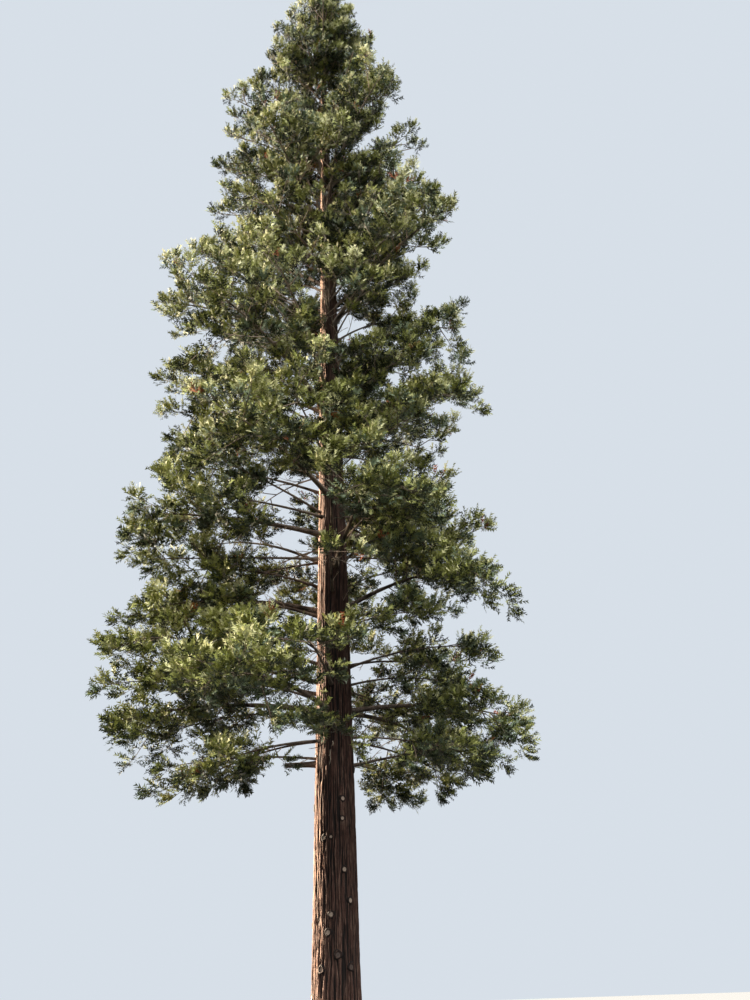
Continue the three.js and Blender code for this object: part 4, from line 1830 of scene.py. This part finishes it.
    def add_twig(self, on: Growth, root: Array, heading: Array, length: float) -> None:
        """Add a side twig with tufts at its tip and on its sides, if it keeps to its limb's space.

        The twig ends at its outermost tuft, and without a tuft there is no twig.

        Args:
            on: The stem it grows on.
            root: Where it leaves the stem.
            heading: Which way it goes.
            length: How long it is.
        """
        shares = np.linspace(0, 1, self.twig_points)[:, None]
        turn_up = self.tuft_lift(root) * self.twig_bend + on.stream.spread(self.twig_bend_change)
        bend = UP * turn_up * length
        for change in self.twig_sizes:
            run = root + heading * length * change * shares + bend * change * shares ** 2
            if self.plan.has_room(run[3], run[-1] - UP * self.hanging_room, on.limb, on.stem.overlap):
                break
        else:
            return
        leafy_to = float(self.add_tuft(on, run[-1], unit(run[-1] - run[-2])))
        side = self.side_angle if on.stream.draw() < 0.5 else -self.side_angle
        for share in self.long_twig_tufts if length > self.long_twig else self.short_twig_tufts:
            aside = unit(turned(heading, UP, side) + UP * on.stream.spread(self.side_lift))
            if self.add_tuft(on, root + (run[-1] - root) * share, aside):
                leafy_to = max(leafy_to, share)
            side = -side
        if leafy_to:
            last = math.ceil(leafy_to * (len(run) - 1))
            on.twigs.add(run[:last + 1], self.twig_radius, self.twig_radius * self.twig_taper)

    def add_tuft(self, on: Growth, root: Array, heading: Array) -> bool:
        """Add a tuft from one of the patterns, if it keeps to its limb's space.

        Args:
            on: The stem that bears it.
            root: Where it grows.
            heading: Which way it goes.

        Returns:
            Whether the tuft was added.
        """
        limb, stream = on.limb, on.stream
        pattern = self.tufts[int(stream.draw() * self.patterns)]
        ahead = unit(heading + stream.vector(self.wander) + UP * self.tuft_lift(root))
        fullness = self.small_tuft + (1 - self.small_tuft) * limb.spray_size
        size = self.tuft_length * fullness * stream.between(*self.tuft_lengths)
        if stream.draw() > self.shoots_share and self.is_bare(limb, root + ahead * size * 0.5):
            return False
        for change in self.tuft_sizes:
            length = size * change
            if self.plan.has_room(root + ahead * length * 0.5, root + ahead * length, limb, on.stem.overlap):
                break
        else:
            return False
        across = turned(across_to(ahead), ahead, stream.spread(self.roll))
        turn = np.stack([ahead, across, np.cross(ahead, across)])
        roots = root + pattern.roots @ turn * length
        headings, lengths = pattern.headings @ turn, pattern.lengths * size
        keeps = self.plan.clear_of_wood(roots + headings * lengths[:, None] * 0.6, limb, self.wood_clearance)
        if keeps.sum() < len(keeps) * self.least_kept:
            return False
        axis = root + np.linspace(0, pattern.axis_length, 3)[:, None] * ahead * length
        on.twigs.add(axis, self.tuft_radius, self.tuft_radius * self.tuft_taper)
        for pair in root + pattern.branchlet_ends @ turn * length:
            on.twigs.add(pair, self.branchlet_radius, self.branchlet_radius * self.tuft_taper)
        line = on.stem.line.points
        rise = root[2] - line[np.linalg.norm(line[:, :2] - root[:2], axis=1).argmin(), 2]
        tones = self.deal_tones(on, pattern, turn, roots, rise)
        columns = (roots, tones, headings, pattern.faces @ turn, lengths)
        on.cloud.tufts.append(tuple(column[keeps] for column in columns))
        return True

    def deal_tones(self, on: Growth, pattern: TuftPattern, turn: Array, roots: Array, rise: float) -> Array:
        """Deal out the tones of a tuft's sprigs.

        Light and shade are painted in: the uppermost and foremost sprigs of a tuft get the lightest tones and
        the undermost the darkest. A tuft is painted darker near the trunk and below its stem, as shade, and a
        few shoots are dead.

        Args:
            on: The stem that bears the tuft.
            pattern: The tuft's pattern.
            turn: The tuft's axes, one a row.
            roots: Where the sprigs grow.
            rise: How high the tuft stands above its stem.

        Returns:
            The number of a tone for each sprig.
        """
        stream = on.stream
        # Painted light: the higher and further forward a sprig sits in its tuft, the lighter its tone.
        light = (pattern.roots @ turn)[:, 2] + self.forward_light * pattern.roots[:, 0]
        light = light + np.array([stream.spread(self.light_change) for _ in roots])
        rank = light.argsort().argsort() / len(light)
        outward = np.hypot(roots[:, 0], roots[:, 1]) / on.limb.reach
        # Painted shade: tufts near the trunk and below their stem are dealt darker tones.
        lit = rank + self.outward_light * (outward - self.outward_middle)
        lit = lit + self.rise_light * max(-self.most_rise, min(self.most_rise, rise))
        lit = lit + stream.spread(self.tuft_light_change)
        tones = np.full(len(roots), TONES.index(Tone.SHADED))
        lighter = (Tone.BLUISH, Tone.OLIVE) if stream.draw() < self.cool_share else (Tone.OLIVE, Tone.FRESH)
        for least, tone in zip(self.tone_steps, (*lighter, Tone.SUNLIT)):
            tones[lit > least] = TONES.index(tone)
        if stream.draw() < self.dead_share:
            first = int(stream.draw() * (len(roots) - self.dead_sprigs))
            tones[first:first + self.dead_sprigs] = TONES.index(Tone.RUSSET)
        return tones

    def pieces(self, twig_nodes: TwigNodes) -> Iterator[tuple[bpy.types.Object, str, list[str]]]:
        """Grow the whole crown and build its pieces.

        Args:
            twig_nodes: The geometry nodes that skin the twigs.

        Yields:
            Each piece with its slot and the nodes that it stands for.
        """
        sprigs = [SprigKind(self.first_sprig_seed + number).build() for number in range(self.sprig_kinds)]
        sprig_nodes = SprigNodes(sprigs)
        materials = [tone.value.material() for tone in TONES]
        for zone in CrownZone:
            name, tiers = zone.value
            twigs, cloud = TwigRuns(), SprigCloud()
            limbs = [limb for limb in self.plan.limbs if limb.tier in tiers]
            for limb in limbs:
                self.grow(limb, twigs, cloud)
            nodes = [limb.foliage_node for limb in limbs]
            wood = twigs.piece(f"twigs_{name}", twig_nodes, self.twig_sides, BOUGH_BARK.material())
            yield wood, "branch_bark", nodes
            for number, tone in enumerate(TONES):
                piece = cloud.points(f"{tone.value.name}_{name}", number)
                look = {"seed": number, "material": materials[number]}
                sprig_nodes.apply(piece, size=1.0, change=self.sprig_change, **look)
                yield piece, "foliage", nodes
        for helper in sprigs:
            bpy.data.objects.remove(helper)


@dataclass
class DeadTwigs:
    """Pale bare twigs on the trunk under the crown and on the inner boughs.

    The low ones are those that the viewer sees under the crown, each with its height, its bearing from the
    front, its slope and its length, in metres and degrees.
    """

    plan: CrownPlan
    low_ones: tuple[tuple[float, float, float, float], ...] = (
        (5.72, -62, -20, 0.24), (5.66, -12, -62, 0.30), (5.80, -5, -50, 0.22)
    )
    on_trunk: int = 26
    slopes: tuple[float, float] = (-35.0, 45.0)
    on_boughs: int = 3
    shares: tuple[float, float] = (0.14, 0.6)
    turn: float = 75.0
    lift: float = 0.8
    sides: int = 4
    sunk: float = 0.02
    lowest: float = 5.7
    highest: float = 19.0
    longest: float = 0.75
    shortest_share: float = 0.35
    radius: float = 0.009
    taper: float = 0.35
    crook: float = 0.22
    steps: int = 5
    fork_steps: tuple[int, ...] = (2, 3)
    fork_turn: float = 0.8
    fork_length: float = 0.35
    fork_girths: tuple[float, float] = (0.5, 0.2)
    seed: int = 67

    def piece(self, nodes: TwigNodes) -> bpy.types.Object:
        """Build the twigs as one piece.

        Args:
            nodes: The geometry nodes that skin the twigs.

        Returns:
            The piece.
        """
        stream = SeededStream(self.seed)
        runs = TwigRuns()
        for height, turn, slope, length in self.low_ones:
            bearing = FRONT + turn
            self.grow(runs, self.root(height, bearing), direction(bearing, slope), length, stream)
        for _ in range(self.on_trunk):
            height, bearing = stream.between(self.lowest, self.highest), stream.draw() * 360
            heading = direction(bearing, stream.between(*self.slopes))
            self.grow(runs, self.root(height, bearing), heading, self.length(stream), stream)
        for limb in self.plan.limbs:
            for stem in limb.stems() if limb.has_bough else ():
                for _ in range(self.on_boughs):
                    along = stream.between(*self.shares)
                    aside = turned(stem.line.heading(along), UP, stream.spread(self.turn))
                    heading = unit(aside + UP * stream.spread(self.lift))
                    self.grow(runs, stem.line.at(along), heading, self.length(stream), stream)
        return runs.piece("bare_dead_twigs", nodes, self.sides, PALE_WOOD.material())

    def root(self, height: float, bearing: float) -> Array:
        """Give the place of a twig's root a little way inside the trunk's bark."""
        trunk = self.plan.trunk
        return trunk.middle(height) + direction(bearing, 0) * (trunk.radius(height) - self.sunk)

    def length(self, stream: SeededStream) -> float:
        """Draw a length, more often short than long."""
        return self.longest * (self.shortest_share + (1 - self.shortest_share) * stream.draw() ** 2)

    def grow(self, runs: TwigRuns, root: Array, heading: Array, length: float, stream: SeededStream) -> None:
        """Add one crooked twig with two finer ones on it.

        Args:
            runs: Where the twigs go.
            root: Where it starts.
            heading: Which way it starts.
            length: How long it is.
            stream: The stream of numbers.
        """
        points = [root]
        for _ in range(self.steps):
            heading = unit(heading + stream.vector(self.crook))
            points.append(points[-1] + heading * length / self.steps)
        runs.add(np.array(points), self.radius, self.radius * self.taper)
        for step in self.fork_steps:
            aside = unit(heading + stream.vector(self.fork_turn))
            side = np.array([points[step], points[step] + aside * length * self.fork_length])
            runs.add(side, *(self.radius * girth for girth in self.fork_girths))


@dataclass(frozen=True)
class Lamp:
    """A far lamp, with its strength in watts a square metre and its width, bearing and slope in degrees."""

    name: str
    colour: Colour
    strength: float
    width: float
    bearing: float
    slope: float

    def build(self) -> bpy.types.Object:
        """Add the lamp to the scene.

        Returns:
            The lamp.
        """
        data = bpy.data.lights.new(self.name, "SUN")
        data.color, data.energy, data.angle = self.colour, self.strength, math.radians(self.width)
        made = linked(self.name, data)
        made.rotation_mode = "QUATERNION"
        made.rotation_quaternion = (-Vector(direction(self.bearing, self.slope))).to_track_quat("-Z", "Y")
        return made


LAMPS = (
    Lamp("key", (1.0, 0.84, 0.62), 11.0, 3.0, 162.0, 20.0),
    Lamp("left_fill", (1.0, 0.98, 0.92), 5.3, 22.0, 220.0, 56.0),
    Lamp("right_fill", (1.0, 0.98, 0.94), 4.6, 35.0, 312.0, 50.0),
)
RIM_LAMP = Lamp("rim", (1.0, 0.82, 0.60), 112.0, 2.0, 150.0, 20.0)


@dataclass
class Studio:
    """The camera at the photo's viewing angle, the pale floor and the soft light."""

    distance: float = 19.8
    eye_height: float = 1.55
    pitch: float = 24.8
    yaw: float = 2.7
    roll: float = 1.9
    focal_pixels: float = 1080.0
    long_side_pixels: float = 1000.0
    sensor_width: float = 36.0
    sight: float = 1000.0
    floor_radius: float = 400.0
    floor_sides: int = 64
    floor_colour: Colour = (0.20, 0.20, 0.197)
    floor_roughness: float = 0.9
    sky_light: Colour = (0.84, 0.91, 1.0)
    seen_sky: Colour = (0.80, 0.87, 0.95)
    seen_strength: float = 0.85
    low_strength: float = 0.08
    strength_gain: float = 0.85
    gain_range: tuple[float, float] = (-0.2, 0.6)

    def camera(self) -> None:
        """Set the camera, pitched up from eye height and rolled a little as the photo's was."""
        data = bpy.data.cameras.new("camera")
        data.sensor_width = self.sensor_width
        data.lens = data.sensor_width * self.focal_pixels / self.long_side_pixels
        data.clip_end = self.sight
        camera = linked("camera", data)
        aim = Vector(direction(90 - self.yaw, self.pitch))
        level = aim.cross(Vector(UP)).normalized()
        upright = level.cross(aim)
        lean = math.radians(self.roll)
        right = level * math.cos(lean) - upright * math.sin(lean)
        turn = Matrix((right, right.cross(aim), -aim)).transposed()
        camera.matrix_world = Matrix.Translation((0, -self.distance, self.eye_height)) @ turn.to_4x4()
        bpy.context.scene.camera = camera

    def floor(self) -> None:
        """Lay the plain pale floor."""
        material, graph = new_material("pale_floor")
        graph.surface(opaque(self.floor_colour), self.floor_roughness)
        turns = [step / self.floor_sides * math.tau for step in range(self.floor_sides)]
        rim = np.array([(math.cos(turn), math.sin(turn), 0.0) for turn in turns]) * self.floor_radius
        floor = mesh_object("floor", rim, [tuple(range(self.floor_sides))], [material], smooth=False)
        floor.visible_diffuse = False
        floor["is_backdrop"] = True

    def light(self) -> None:
        """Set the sky, the low warm key from the left, a little behind the tree, and the two wide fills."""
        world = bpy.data.worlds.new("studio")
        world.use_nodes = True
        world.node_tree.nodes.clear()
        graph = NodeGraph(world.node_tree)
        risen = graph.remap(graph.height(graph.coordinates("Generated")), *self.gain_range)
        strength = graph.math("ADD", self.low_strength, graph.math("MULTIPLY", self.strength_gain, risen))
        both = graph.add("ShaderNodeMixShader", {"Fac": graph.add("ShaderNodeLightPath").outputs[0]})
        skies = (self.sky_light, strength), (self.seen_sky, self.seen_strength)
        for socket, (colour, glow) in zip(both.inputs[1:], skies):
            sky = graph.add("ShaderNodeBackground", {"Color": opaque(colour), "Strength": glow})
            graph.tree.links.new(sky.outputs[0], socket)
        graph.add("ShaderNodeOutputWorld", {"Surface": both.outputs[0]})
        bpy.context.scene.world = world
        for lamp in LAMPS:
            lamp.build()
        bpy.context.scene.view_settings.view_transform = "Standard"

    def rim_light(self, lit: Sequence[bpy.types.Object]) -> None:
        """Add a warm rim light along the left edge of the trunk, for some pieces alone.

        Args:
            lit: The pieces that it lights.
        """
        rim = RIM_LAMP.build()
        pieces = bpy.data.collections.new("rim_lit")
        for piece in lit:
            pieces.objects.link(piece)
        rim.light_linking.receiver_collection = pieces
        rim.light_linking.blocker_collection = pieces


def write_sizes() -> None:
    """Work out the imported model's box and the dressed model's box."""
    boxes = {"cad": CAD_BOX, "visual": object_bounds()}
    plain = {name: [list(corner) for corner in box] for name, box in boxes.items()}


def main() -> None:
    """Build and dress the tree, then set the stage."""
    logging.basicConfig(level=logging.INFO, format="%(message)s")
    studio = Studio()
    studio.camera()
    studio.floor()
    studio.light()
    trunk = Trunk()
    bark, scars = trunk.bark(), PruningScars(trunk).piece()
    fit_piece(bark, "bark", ["trunk"])
    fit_piece(scars, "branch_bark", [])
    plan = CrownPlan(trunk)
    boughs = Boughs(plan)
    stub = boughs.stub()
    fit_piece(stub, "branch_bark", ["sawn_stub"])
    studio.rim_light([bark, scars])
    for tier in range(len(TIERS) + 1):
        piece, nodes = boughs.tier_piece(tier)
        fit_piece(piece, "branch_bark", nodes)
    twig_nodes = TwigNodes()
    fit_piece(DeadTwigs(plan).piece(twig_nodes), "branch_bark", [])
    for piece, slot, nodes in Foliage(plan).pieces(twig_nodes):
        fit_piece(piece, slot, nodes)
    write_sizes()


if __name__ == "__main__":
    main()
